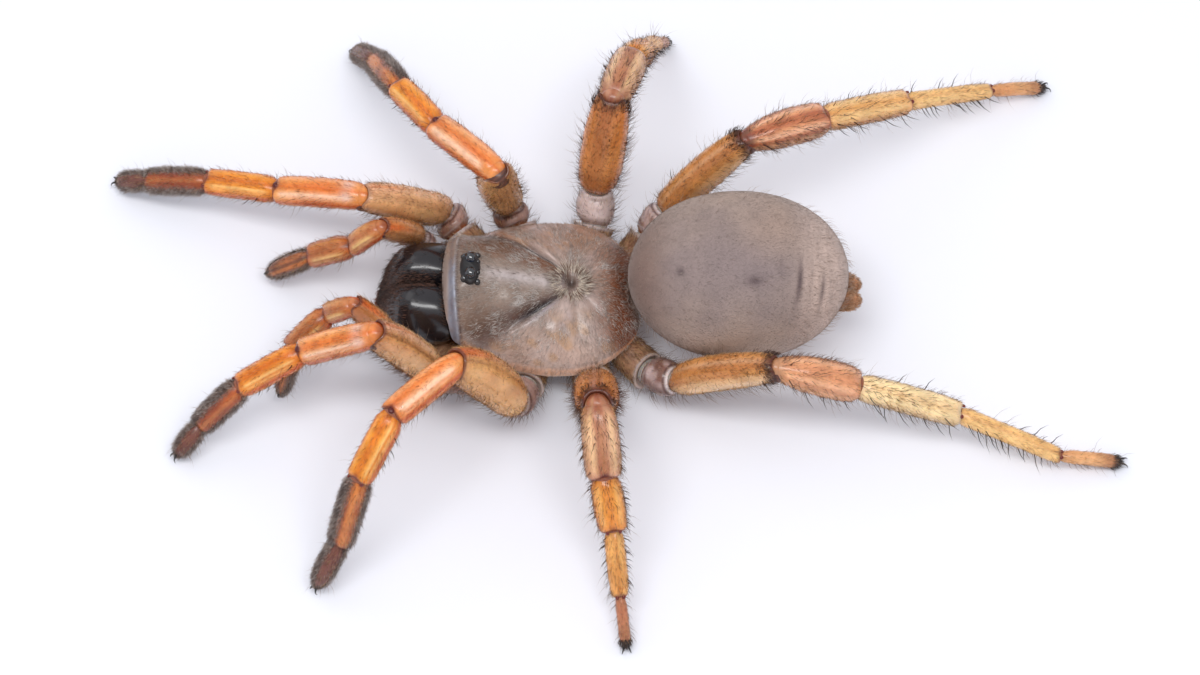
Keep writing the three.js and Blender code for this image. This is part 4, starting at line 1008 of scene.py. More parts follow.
def carapace_colour(x, y, p):
    g = c_half(x)
    v = noise(p, 1.4, 1)
    w = noise(p, 0.6, 0)
    r = np.hypot(x - FOVEA[0], y)
    a = np.arctan2(np.abs(y), -(x - FOVEA[0]))
    c = mixc(srgb(181, 159, 150), srgb(160, 134, 119), 0.5 + 0.45 * v + 0.15 * w)
    q = np.abs(y) / c_w(x)
    far = y / c_w(x)
    c = mixc(c, srgb(208, 180, 166), sstep(0.5, 0.85, q) * 0.6)
    # warmer blotches on the flanks, cooler ones by the head
    c = mixc(c, srgb(184, 140, 96), sstep(0.2, 1.0, noise(p, 0.8, 3)) * 0.55 * sstep(0.3, 0.55, q))
    c = mixc(c, srgb(178, 160, 160), sstep(0.3, 1.1, noise(p, 1.1, 2)) * 0.4 * sstep(0.15, 0.35, q) * sstep(0.75, 0.55, q))
    # darker rays from the pit between the paler fields of the chest
    for a0, am in ((1.1, 0.3), (1.7, 0.4), (2.3, 0.4), (2.85, 0.3)):
        c = mixc(c, srgb(126, 98, 82), bump(a, a0, 0.12) * sstep(0.4, 1.0, r) * sstep(4.6, 2.4, r) * am)
    # painted shade: the far half of the chest darker and browner
    c = mixc(c, srgb(156, 110, 80), sstep(0.2, 0.8, far) * 0.75)
    c = mixc(c, srgb(166, 112, 78), sstep(0.7, 0.95, far) * 0.6)
    # the head: a silvery band along its ridge, paler hair with a painted highlight over it; dark brown down its sides,
    # with painted shade down the far side; painted shade in the grooves
    lane = np.abs(y) / g
    inside = sstep(1.0, 0.85, lane) * sstep(-1.6, -2.4, x)
    c = mixc(c, srgb(134, 114, 100), inside * 0.9)
    c = mixc(c, srgb(118, 94, 78), inside * sstep(0.35, 0.9, lane) * sstep(-8.9, -7.6, x) * 0.6)
    # painted shade down the far side of the head
    c = mixc(c, srgb(108, 66, 38), inside * sstep(0.15, 0.6, y / g) * sstep(-9.0, -8.4, x) * 0.92)
    # painted highlight along the ridge, over paler hair
    c = mixc(c, srgb(194, 182, 180), bump(y, -0.2, 0.42) * inside * sstep(-7.7, -6.6, x) * 0.8)
    near = sstep(0.3, -0.3, y)
    # painted shade in the grooves: a broad soft one in the near groove with a black painted shadow in its short slit
    # and a pale painted glint beside it; a dark line in the far one
    c = mixc(c, srgb(84, 62, 54), bump(lane, 0.97, 0.10 + 0.17 * near) * sstep(-9.0, -7.0, x) * sstep(-1.4, -2.3, x) * (0.8 + 0.1 * near))
    c = mixc(c, srgb(50, 40, 44), bump(lane, 1.02, 0.08) * sstep(-6.0, -4.2, x) * sstep(-1.8, -2.6, x) * 0.9)
    # painted shadow: the black slit in the near groove
    c = mixc(c, srgb(30, 24, 30), bump(lane, 1.04, 0.12) * bump(x, -3.6, 0.75) * 0.97 * near)
    # painted highlight: a pale blue-grey glint beside the near groove
    c = mixc(c, srgb(152, 146, 158), bump(lane, 1.32, 0.12) * bump(x, -3.4, 0.9) * 0.7 * near)
    c = mixc(c, srgb(66, 52, 48), np.exp(-((x + 7.9) / 0.62) ** 2 - (y / 1.1) ** 2) * 0.75)
    # pit, and the dark ground of the star about it
    c = mixc(c, srgb(112, 90, 78), bump(r, 0.5, 0.7) * 0.6)
    c = mixc(c, srgb(54, 36, 28), np.exp(-((r / 0.4) ** 2)) * 0.95)
    c = mixc(c, srgb(70, 54, 48), np.exp(-((x + 2.4) / 0.4) ** 2 - ((y - 0.25) / 0.42) ** 2) * 0.85)
    # the rear: rust brown towards the waist
    c = mixc(c, srgb(134, 84, 56), sstep(-0.9, 0.9, x) * sstep(4.6, 2.6, np.abs(y)) * 0.8)
    c = mixc(c, srgb(112, 56, 22), sstep(0.2, 1.4, x) * sstep(4.4, 3.0, np.abs(y)) * 0.97)
    c = mixc(c, srgb(204, 144, 102), sstep(0.925, 0.965, q) * 0.55)
    c = mixc(c, srgb(222, 194, 170), sstep(0.975, 1.0, q) * 0.8)
    # the smooth band along the front edge: its own grey, browner on the far side and blue-grey on the near side with
    # painted reflection, a painted highlight line, a brown lip
    band = x + 8.74 - 0.02 * y * y
    edge = 0.25 * noise(p, 0.5, 1)
    # the band's own grey, with a painted reflection turning it blue-grey on the near side
    c = mixc(c, mixc(srgb(138, 120, 110), srgb(132, 134, 146), sstep(1.6, -0.4, y) + edge), sstep(0.1, -0.1, band))
    # painted highlight: the pale line in the band
    c = mixc(c, srgb(206, 212, 226), bump(band, -0.13, 0.05) * (0.62 + edge) * bump(y, -1.5, 1.5))
    c = mixc(c, srgb(96, 78, 74), bump(band, 0.04, 0.10) * (0.6 + edge))
    c = mixc(c, srgb(108, 102, 110), bump(band, -0.34, 0.10) * (0.55 + edge))
    return mixc(c, srgb(158, 136, 122), sstep(-9.1, -9.34, x) * 0.85)


def make_carapace():
    NS, NQ = 190, 150
    s = np.linspace(0, 1, NS)
    s = 0.5 - 0.5 * np.cos(np.pi * (0.02 + 0.96 * s)) / np.cos(np.pi * 0.02)
    s = np.clip((s - s[0]) / (s[-1] - s[0]), 0, 1)
    q = np.sin(np.linspace(-1, 1, NQ) * np.pi / 2)
    S, Q = np.meshgrid(s, q, indexing="ij")
    x, y = carapace_xy(S, Q)
    z = carapace_z(x, y)
    p = np.stack([x, y, z], -1)
    p[..., 2] += 0.010 * noise(p, 0.55, 2) * (1 - np.abs(Q) ** 8)
    col = carapace_colour(x, y, p)
    top = p.reshape(-1, 3)
    n = len(top)
    idx = np.arange(n).reshape(NS, NQ)
    loop = np.concatenate([idx[0, :], idx[1:, -1], idx[-1, -2::-1], idx[-2:0:-1, 0]])
    rim = top[loop]
    low = rim.copy()
    low[:, 2] -= 0.16
    low[:, :2] = low[:, :2] * 0.992 + np.array([-3.0, 0]) * 0.008
    inn = low.copy()
    inn[:, :2] = (inn[:, :2] - [-3.2, 0]) * 0.86 + [-3.2, 0]
    inn[:, 2] += 0.12
    m = len(loop)
    verts = np.concatenate([top, low, inn, [[-3.2, 0, 3.4]]])
    i = np.arange(m)
    j = (i + 1) % m
    side = np.stack([loop[i], loop[j], n + j, n + i], -1)
    under = np.stack([n + i, n + j, n + m + j, n + m + i], -1)
    cap = np.stack([n + m + i, n + m + j, np.full(m, n + 2 * m)], -1)
    faces = [grid_faces(NS, NQ, wrap=False), side, under, cap]
    # the top grid and the strips have to agree about which way is out
    a, b, c = top[idx[50, 50]], top[idx[51, 50]], top[idx[50, 51]]
    up = np.cross(c - a, b - a)[2] > 0
    if not up:
        faces[0] = faces[0][:, ::-1]
    strip_up = np.cross(verts[side[0, 1]] - verts[side[0, 0]], verts[side[0, 3]] - verts[side[0, 0]])
    outward = verts[side[0, 0]] - np.array([-3.2, 0, 3])
    if strip_up @ outward < 0:
        faces[1:] = [f[:, ::-1] for f in faces[1:]]
    colour = np.concatenate([col.reshape(-1, 3), np.broadcast_to(srgb(190, 150, 120), (m, 3)),
                             np.broadcast_to(srgb(150, 110, 84), (m + 1, 3))])
    ob = build("carapace_shell", verts, faces, colour, MAT["carapace"])
    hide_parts("carapace")

    # hairs: they lie outward from the pit and forward over the head
    coat = Coat("carapace_hairs", 31)
    rng = coat.rng
    few = 1.0

    def place(count, smax=1.0, keep=None):
        s_, q_ = rng.uniform(0.02, smax, count), rng.uniform(-0.985, 0.985, count)
        x, y = carapace_xy(s_, q_)
        if keep is not None:
            k_ = rng.random(count) < keep(x, y)
            s_, q_, x, y = s_[k_], q_[k_], x[k_], y[k_]
        e = 0.02
        z = carapace_z(x, y)
        gx = (carapace_z(x + e, y) - carapace_z(x - e, y)) / (2 * e)
        gy = (carapace_z(x, y + e) - carapace_z(x, y - e)) / (2 * e)
        nrm = unit(np.stack([-gx, -gy, np.ones_like(gx)], -1))
        return x, y, np.stack([x, y, z], -1), nrm, np.stack([s_, (q_ + 1) / 2], -1)

    def lie(x, y):
        out = np.stack([x - FOVEA[0], y, np.zeros_like(x)], -1)
        head = sstep(1.0, 0.8, np.abs(y) / c_half(x)) * (x < -2.2)
        fwd = np.stack([-np.ones_like(x), 0.15 * y, np.zeros_like(x)], -1)
        return unit(unit(out) * (1 - head)[:, None] + fwd * head[:, None])

    x, y, p, n, uv = place(int(19000 * few), keep=lambda x, y: np.where(x + 8.66 - 0.02 * y * y < 0, 0.0, 0.45 + 0.5 * (noise(np.stack([x, y, 0 * x], -1), 1.1, 3) > 0.0)))
    tone = rng.random(len(x))
    base = carapace_colour(x, y, p)
    c = mixc(mixc(base, srgb(226, 216, 206), 0.5), mixc(base, srgb(120, 84, 58), 0.35), (tone > 0.7) * 1.0)
    coat.add(p, n, lie(x, y), 0.42, 0.0105, 0.2, c, mixc(c, SILVER, 0.5), uv, stray=0.4, droop=0.7, plain=True)
    # clumps of longer silvery hairs on the flanks and along the head
    x, y, p, n, uv = place(int(9000 * few), keep=lambda x, y: sstep(0.3, 0.9, noise(np.stack([x, y, 0 * x], -1), 0.8, 2)) * (x > -8.3) * sstep(0.9, 0.7, np.abs(y) / c_w(x)))
    coat.add(p, n, lie(x, y), 0.5, 0.012, 0.26, srgb(206, 194, 186), srgb(246, 242, 238), uv, stray=0.5, droop=0.6, plain=True)
    # golden hairs in the star about the pit
    m = int(760 * few)
    a, r = rng.uniform(0, 2 * np.pi, m), 0.2 + 0.85 * rng.random(m)
    x, y = FOVEA[0] + r * np.cos(a), r * np.sin(a)
    z = carapace_z(x, y)
    p = np.stack([x, y, z], -1)
    n = np.broadcast_to([0.0, 0, 1.0], p.shape)
    tone = rng.random(m)
    c = mixc(srgb(236, 222, 204), srgb(112, 70, 44), (tone > 0.66) * 1.0)
    uv = np.stack([(x - CX[0]) / (CX[-1] - CX[0]), (y / c_w(x) + 1) / 2], -1)
    coat.add(p, n, np.stack([np.cos(a), np.sin(a), 0 * a], -1), 0.62, 0.0125, 0.34, c, c, uv, stray=0.22)
    # bristles along the edge, pale brown, and a few dark ones along the head's midline
    m = int(420 * few)
    s_, sg = rng.uniform(0.08, 0.97, m), np.where(rng.random(m) < 0.5, -1, 1)
    x, y = carapace_xy(s_, sg * rng.uniform(0.9, 0.99, m))
    p = np.stack([x, y, carapace_z(x, y)], -1)
    n = unit(np.stack([0.2 * (x + 3.2), y, 2 + 0 * x], -1))
    uv = np.stack([s_, (sg * 0.95 + 1) / 2], -1)
    coat.add(p, n, np.stack([0.3 * (x + 3), y, 0 * x], -1), 0.42, 0.011, 0.35, srgb(158, 126, 104), srgb(206, 184, 164), uv, stray=0.4)
    m = 16
    x = rng.uniform(-7.2, -2.4, m)
    y = rng.normal(0, 0.12, m)
    p = np.stack([x, y, carapace_z(x, y)], -1)
    n = np.broadcast_to([0.0, 0, 1.0], p.shape)
    uv = np.stack([(x - CX[0]) / (CX[-1] - CX[0]), 0.5 + 0 * x], -1)
    coat.add(p, n, np.broadcast_to([-1.0, 0, 0], p.shape), 0.6, 0.011, 0.9, BROWN_DK, srgb(110, 84, 66), uv, stray=0.4)
    # fringe of bristles over the jaws
    m = 70
    y = rng.uniform(-2.9, 2.9, m)
    x = -9.5 + 0.03 * y * y
    p = np.stack([x, y, carapace_z(np.maximum(x, -9.55), y) - 0.05], -1)
    n = unit(np.stack([-1 + 0 * x, 0.25 * y, 0.6 + 0 * x], -1))
    uv = np.stack([0.03 + 0 * x, (y / 3.2 + 1) / 2], -1)
    coat.add(p, n, np.broadcast_to([-1.0, 0, 0.1], p.shape), 0.5, 0.014, 0.6, BROWN_DK, srgb(90, 70, 60), uv, stray=0.5)
    hb = coat.object(MAT["pile"])


def make_eyes():
    bag = Bag()
    # the low dark mound
    z0 = float(carapace_z(np.array(-7.9), np.array(0.0)))
    v, f, q = ball(np.array([-7.88, 0, z0 - 0.12]), np.array([0.62, 1.12, 0.42]), np.eye(3), 28, 40)
    v = v + 0.025 * noise(v, 0.3, 3)[:, None] * q
    bag.add(v, f, mixc(srgb(8, 7, 9), srgb(24, 19, 20), 0.5 + 0.5 * noise(v, 0.5, 1)), slot=0)
    for x, y, r, lift in [(-7.84, 0.53, 0.34, 0.15), (-8.24, 0.74, 0.18, 0.03), (-7.44, 0.9, 0.15, 0.0), (-7.42, 0.36, 0.12, 0.04)]:
        for sg in (1, -1):
            z = float(carapace_z(np.array(x), np.array(y)))
            top = z0 - 0.12 + 0.36 * math.sqrt(max(0.0, 1 - ((x + 7.88) / 0.56) ** 2 - (y / 1.05) ** 2))
            zz = max(z, top) + lift - 0.06
            axis = unit(np.array([-0.2 if x < -8 else (0.25 if x > -7.6 else 0.0), 0.35 * sg * y, 1.0]))
            a = unit(np.cross(axis, [1.0, 0, 0]))
            b = np.cross(axis, a)
            v, f, q = ball(np.array([x, y * sg, zz]), np.array([r * 1.08, r, r * 0.92]), [a, b, axis], 20, 30)
            bag.add(v, f, mixc(srgb(6, 8, 16), srgb(30, 42, 66), sstep(0.55, -0.1, q[:, 2]) * (0.7 if r > 0.3 else 0.4)), slot=1)
            # a low wall of skin about it
            n = 32
            ring_t = np.linspace(0, 2 * np.pi, n, endpoint=False)
            ring_c = np.array([x, y * sg, zz - r * 0.32])
            mids = ring_c + (np.cos(ring_t)[:, None] * a * 1.08 + np.sin(ring_t)[:, None] * b) * r * 0.98
            rad = unit(mids - ring_c)
            tube = [mids + rad * (0.05 * math.cos(ph)) + axis * (0.06 * math.sin(ph)) for ph in np.linspace(0, 2 * np.pi, 8, endpoint=False)]
            tv = np.stack(tube, 1).reshape(-1, 3)
            i = np.arange(n)[:, None] * 8
            j = ((np.arange(n)[:, None] + 1) % n) * 8
            kk = np.arange(8)[None]
            kn = (kk + 1) % 8
            tf = np.stack([i + kk, j + kk, j + kn, i + kn], -1).reshape(-1, 4)
            bag.add(tv, facing_out(tv, [tf]), srgb(16, 13, 14), slot=0)
    ob = bag.object("eye_group", [MAT["coxa"], MAT["eye"]])
    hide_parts("eyes")


# ------------------------------------------------------------------ jaws
JX = [-9.15, -9.7, -10.5, -11.4, -12.3, -13.0, -13.5, -13.75]
JXr = [-a for a in JX]


def soft(xs, ys, width):
    """The same curve with its changes of slope smoothed over the given width."""
    f = curve(xs, ys)
    g = np.linspace(xs[0] - 2 * width, xs[-1] + 2 * width, 600)
    lo, hi = (ys[1] - ys[0]) / (xs[1] - xs[0]), (ys[-1] - ys[-2]) / (xs[-1] - xs[-2])
    v = f(g) + lo * np.minimum(g - xs[0], 0) + hi * np.maximum(g - xs[-1], 0)
    k = np.exp(-np.linspace(-2, 2, 101) ** 2)
    step = g[1] - g[0]
    n = max(3, int(2 * width / step) // 2 * 2 + 1)
    k = np.exp(-np.linspace(-2, 2, n) ** 2)
    v2 = np.convolve(np.pad(v, n // 2, mode="edge"), k / k.sum(), mode="valid")
    return lambda x: np.interp(x, g, v2)


_jw = soft(JXr, [3.1, 3.3, 3.35, 3.25, 2.98, 2.5, 1.8, 0.95], 0.5)
_jlo = soft(JXr, [2.35, 2.1, 1.95, 1.85, 1.8, 1.85, 2.1, 2.6], 0.4)
_jhi = soft(JXr, [5.8, 5.98, 6.12, 6.1, 5.8, 5.05, 4.05, 3.1], 0.5)


def jaw_at(side, s, th):
    s, th = np.broadcast_arrays(np.asarray(s, float), np.asarray(th, float))
    a = np.sin(np.clip(s, 0, 1) * np.pi / 2 * 0.985) / np.sin(np.pi / 2 * 0.985)
    x = JX[0] + (JX[-1] - JX[0]) * a
    w, lo, hi = _jw(-x), _jlo(-x), _jhi(-x)
    x = x * 1.0 + 0.34 * sstep(0.3, 1.0, a)  # a little shorter than the solid, whose length takes in the bristles
    inner, outer = 0.09, w - 0.06
    cy, hy = (inner + outer) / 2, (outer - inner) / 2
    cz, hz = (lo + hi) / 2, (hi - lo) / 2 - 0.05
    c, sn = np.cos(th), np.sin(th)
    pc = np.where(c < 0, -np.abs(c) ** 0.72, c)
    ps = np.sign(sn) * np.abs(sn) ** 0.95
    # the back of each jaw leans towards the slit, and rolls down to it
    y = cy + hy * pc - 0.15 * hz * np.maximum(ps, 0)
    z = cz + hz * ps
    return np.stack([x, side * np.maximum(y, inner), z], -1)


def make_jaw(side, label):
    NS, NT = 90, 72
    s = np.linspace(0, 1, NS)
    th = np.linspace(0, 2 * np.pi, NT, endpoint=False)
    S, T = np.meshgrid(s, th, indexing="ij")
    p = jaw_at(side, S, T)
    tip = sstep(0.55, 0.95, S)
    q = p.reshape(-1, 3)
    q = q + 0.006 * noise(q, 0.6, 2)[:, None] * np.array([0.2, 0.3, 1.0])
    c = mixc(srgb(28, 24, 27), srgb(62, 40, 34), (tip * (0.6 + 0.4 * noise(p, 0.8, 1))).ravel())
    c = mixc(c, srgb(70, 34, 26), (sstep(0.2, -0.6, np.sin(T)) * 0.5).ravel())
    n = len(q)
    q = np.concatenate([q, [p[0].mean(0)], [p[-1].mean(0) + [-0.06, 0, 0]]])
    c = np.concatenate([c, c[:1], c[-1:]])
    f = [grid_faces(NS, NT), fan(n, np.arange(NT), flip=True), fan(n + 1, (NS - 1) * NT + np.arange(NT))]
    ob = build(f"chelicera_{label}_shell", q, facing_out(q, f), c, MAT["jaw"])
    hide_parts(f"chelicera_{label}")

    coat = Coat(f"chelicera_{label}_hairs", 41 if side > 0 else 42)
    rng = coat.rng
    few = 1.0

    def place(count, lo, hi, keep=None):
        count = int(count * few)
        s_, t_ = rng.uniform(lo, hi, count), rng.uniform(0, 2 * np.pi, count)
        if keep is not None:
            k_ = rng.random(count) < keep(s_, t_)
            s_, t_ = s_[k_], t_[k_]
        p = jaw_at(side, s_, t_)
        ds = jaw_at(side, s_ + 0.01, t_) - jaw_at(side, s_ - 0.01, t_)
        dt = jaw_at(side, s_, t_ + 0.02) - jaw_at(side, s_, t_ - 0.02)
        nn = unit(np.cross(ds, dt))
        mid = np.stack([p[:, 0], side * (_jw(-p[:, 0]) / 2), (_jlo(-p[:, 0]) + _jhi(-p[:, 0])) / 2], -1)
        nn = np.where(((p - mid) * nn).sum(-1, keepdims=True) < 0, -nn, nn)
        return s_, t_, p, nn, unit(ds), np.stack([s_, t_ / (2 * np.pi)], -1)

    # bristles thicken towards the front and along the slit
    inner = lambda s_, t_: np.clip(sstep(0.30, 0.75, s_) + 0.7 * bump(np.cos(t_), -0.75, 0.3) * (np.sin(t_) > 0), 0, 1)
    s_, t_, p, nn, d, uv = place(7000, 0.1, 1.0, inner)
    tone = rng.random(len(s_))
    c = mixc(srgb(40, 28, 24), srgb(124, 86, 70), tone ** 1.5)
    coat.add(p, nn, d, 0.42, 0.012, 0.38, c, mixc(c, srgb(140, 104, 88), 0.35), uv, stray=0.3)
    s_, t_, p, nn, d, uv = place(700, 0.15, 1.0, lambda s_, t_: 0.2 + 0.8 * np.clip(sstep(0.4, 0.8, s_) + bump(np.cos(t_), -0.7, 0.3) * (np.sin(t_) > 0), 0, 1))
    coat.add(p, nn, d, 0.6, 0.014, 0.85, srgb(30, 22, 20), srgb(80, 58, 48), uv, stray=0.35)
    # red-brown fringe under the fang
    s_, t_, p, nn, d, uv = place(1500, 0.35, 1.0, lambda s_, t_: sstep(-0.1, -0.6, np.sin(t_)))
    coat.add(p, nn, unit(d + np.array([0, 0, -0.6])), 0.6, 0.018, 0.8, srgb(110, 52, 34), srgb(150, 86, 58), uv, stray=0.4)
    hb = coat.object(MAT["hair"])

    # the fang, folded back beneath
    b = Bag()
    pts = bezier([-12.95, 1.35 * side, 1.2], [-11.6, 1.5 * side, 0.92], [-9.4, 0.95 * side, 0.98], 22)
    rad = curve([0, .1, .35, .7, 1], [0.42, 0.47, 0.4, 0.26, 0.05])(np.linspace(0, 1, 22))
    v, f2 = horn(pts, rad, 22)
    b.add(v, f2, mixc(srgb(22, 12, 10), srgb(96, 34, 18), sstep(-10.6, -9.4, v[:, 0])))
    ob = b.object(f"fang_{label}_horn", [MAT["claw"]])
    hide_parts(f"fang_{label}")


# ------------------------------------------------------------------ abdomen
A_C, A_H, A_ROLL = np.array([8.4, 0, 6.45]), np.array([6.75, 5.2, 4.35]), math.radians(18)
ROT = np.array([[1, 0, 0], [0, math.cos(A_ROLL), -math.sin(A_ROLL)], [0, math.sin(A_ROLL), math.cos(A_ROLL)]])


def abdomen_local(u, th):
    """u from 0 (front) to 1 (tail); th = pi/2 is the animal's back."""
    u, th = np.broadcast_arrays(np.asarray(u, float), np.asarray(th, float))
    c = np.cos(np.pi * np.clip(u, 0, 1))
    x = -A_H[0] * np.sign(c) * np.abs(c) ** 0.96
    r = np.sqrt(np.clip(1 - (np.abs(x) / A_H[0]) ** 2.15, 0, 1))
    low = np.where(np.sin(th) < 0, 0.96, 1.0)
    fuzz = 0.10
    y = (A_H[1] - fuzz) * r * np.cos(th)
    z = (A_H[2] - fuzz) * r * np.sin(th) * low
    # faint folds across the rear, deepest on the back
    rear = sstep(1.5, 5.5, x)
    ripple = 0.004 * rear * np.sin(x * 9.5 + 0.5 * np.sin(y * 1.1)) * sstep(-0.3, 0.6, np.sin(th))
    k = 1 + ripple / np.maximum(np.hypot(y, z), 0.6)
    l = np.stack([x * 0.99, y * k, z * k], -1)
    return l + (0.004 * noise(l, 0.7, 2) + 0.02 * noise(l, 3.0, 3))[..., None] * unit(l)


def abdomen_at(u, th):
    return abdomen_local(u, th) @ ROT.T + A_C


def abdomen_colour(l):
    """l is the place in the abdomen's own axes."""
    x, y, z = l[..., 0], l[..., 1], l[..., 2]
    back = sstep(-0.5, 3.0, z)
    v = noise(l, 1.6, 1)
    w = noise(l, 0.5, 0)
    c = mixc(srgb(145, 127, 121), srgb(157, 137, 127), 0.5 + 0.4 * v + 0.1 * w)
    # painted sheen: paler towards the sides
    c = mixc(c, srgb(190, 166, 150), sstep(0.5, 1.0, np.abs(y) / A_H[1]) * 0.6)
    c = mixc(c, srgb(132, 117, 118), bump(y, -0.3, 2.2) * back * sstep(-6.5, -3, x) * sstep(4.8, 1.5, x) * 0.6)
    c = mixc(c, srgb(206, 181, 168), sstep(2.6, 5.4, x) * 0.8)
    c = mixc(c, srgb(118, 92, 82), sstep(-3.6, -6.2, x) * 0.8)
    c = mixc(c, srgb(176, 148, 130), bump(x, 2.0, 1.6) * bump(y, 2.4, 1.6) * 0.5)
    c = mixc(c, srgb(200, 166, 142), sstep(1.0, -3.5, z) * 0.6)
    # small dark marks along the midline of the back, and fine cross bands behind them
    top = sstep(1.0, 2.4, z)
    for mx, my, sx, sy, a in [(-3.55, -0.35, 0.26, 0.24, 0.75), (0.95, -1.0, 0.5, 0.28, 0.8), (2.5, 0, 0.12, 0.6, 0.25),
                              (3.66, -1.05, 0.17, 1.3, 1.0), (5.1, -1.35, 0.12, 1.0, 0.8), (4.4, -0.3, 0.08, 1.1, 0.25)]:
        c = mixc(c, srgb(82, 66, 68), np.exp(-(((x - mx + 0.05 * y * y) / sx) ** 2) - (((y - my) / sy) ** 2)) * a * np.where(x < 5, top, 1))
    return mixc(c, srgb(146, 126, 118), (0.5 + 0.5 * np.sin(x * 9.5 + 0.5 * np.sin(y * 1.1))) ** 3 * sstep(1.0, 4.5, x) * back * 0.2)


def make_abdomen():
    NU, NT = 170, 190
    u = np.linspace(0, 1, NU)[1:-1]
    th = np.linspace(0, 2 * np.pi, NT, endpoint=False)
    U, T = np.meshgrid(u, th, indexing="ij")
    l = abdomen_local(U, T)
    col = abdomen_colour(l).reshape(-1, 3)
    v = l.reshape(-1, 3)
    n = len(v)
    v = np.concatenate([v, [[-A_H[0] * 0.99, 0, 0], [A_H[0] * 0.99, 0, 0]]])
    col = np.concatenate([col, col[:1], col[-1:]])
    rows = NU - 2
    f = [grid_faces(rows, NT), fan(n, np.arange(NT), flip=True), fan(n + 1, (rows - 1) * NT + np.arange(NT))]
    v = v @ ROT.T + A_C
    ob = build("abdomen_skin", v, facing_out(v, f), col, MAT["abdomen"])
    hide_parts("abdomen")

    few = 1.0

    def place(rng, count, keep=None):
        # even over the surface: equal areas of the unit ball, then stretched
        c = rng.uniform(-1, 1, count)
        u_ = np.arccos(c) / np.pi
        t_ = rng.uniform(0, 2 * np.pi, count)
        l_ = abdomen_local(u_, t_)
        if keep is not None:
            k_ = rng.random(count) < keep(l_)
            u_, t_, l_ = u_[k_], t_[k_], l_[k_]
        n_ = unit(l_ / (A_H ** 2))
        back_ = np.stack([np.ones(len(l_)), 0 * l_[:, 1], 0 * l_[:, 2]], -1)
        uv = np.stack([u_, t_ / (2 * np.pi)], -1)
        return l_, n_, back_, uv

    for tag, seed, count in (("a", 51, 36000), ("b", 52, 36000)):
        coat = Coat(f"abdomen_fuzz_{tag}", seed)
        rng = coat.rng
        l_, n_, d_, uv = place(rng, int(count * few))
        base = abdomen_colour(l_)
        tone = rng.random(len(l_))
        c = np.where(tone[:, None] < 0.65, mixc(base, srgb(226, 210, 196), 0.22), mixc(base, srgb(116, 92, 80), 0.1))
        ln = 0.34 - 0.04 * sstep(2, 4, l_[:, 0])
        coat.add(l_ @ ROT.T + A_C, n_ @ ROT.T, d_, ln * 0.72, 0.0085, 0.17 + 0.08 * sstep(1, 6.4, l_[:, 0]), c, mixc(c, SILVER, 0.2), uv, stray=0.35, droop=0.6, plain=True)
        if tag == "a":
            l_, n_, d_, uv = place(rng, int(1500 * few), lambda q: 0.25 + 0.75 * sstep(2.5, 6, q[:, 0]))
            coat.add(l_ @ ROT.T + A_C, n_ @ ROT.T, d_, 0.8, 0.01, 0.7, srgb(150, 126, 112), srgb(196, 176, 162), uv, stray=0.3, droop=0.4)
        hb = coat.object(MAT["pile"])


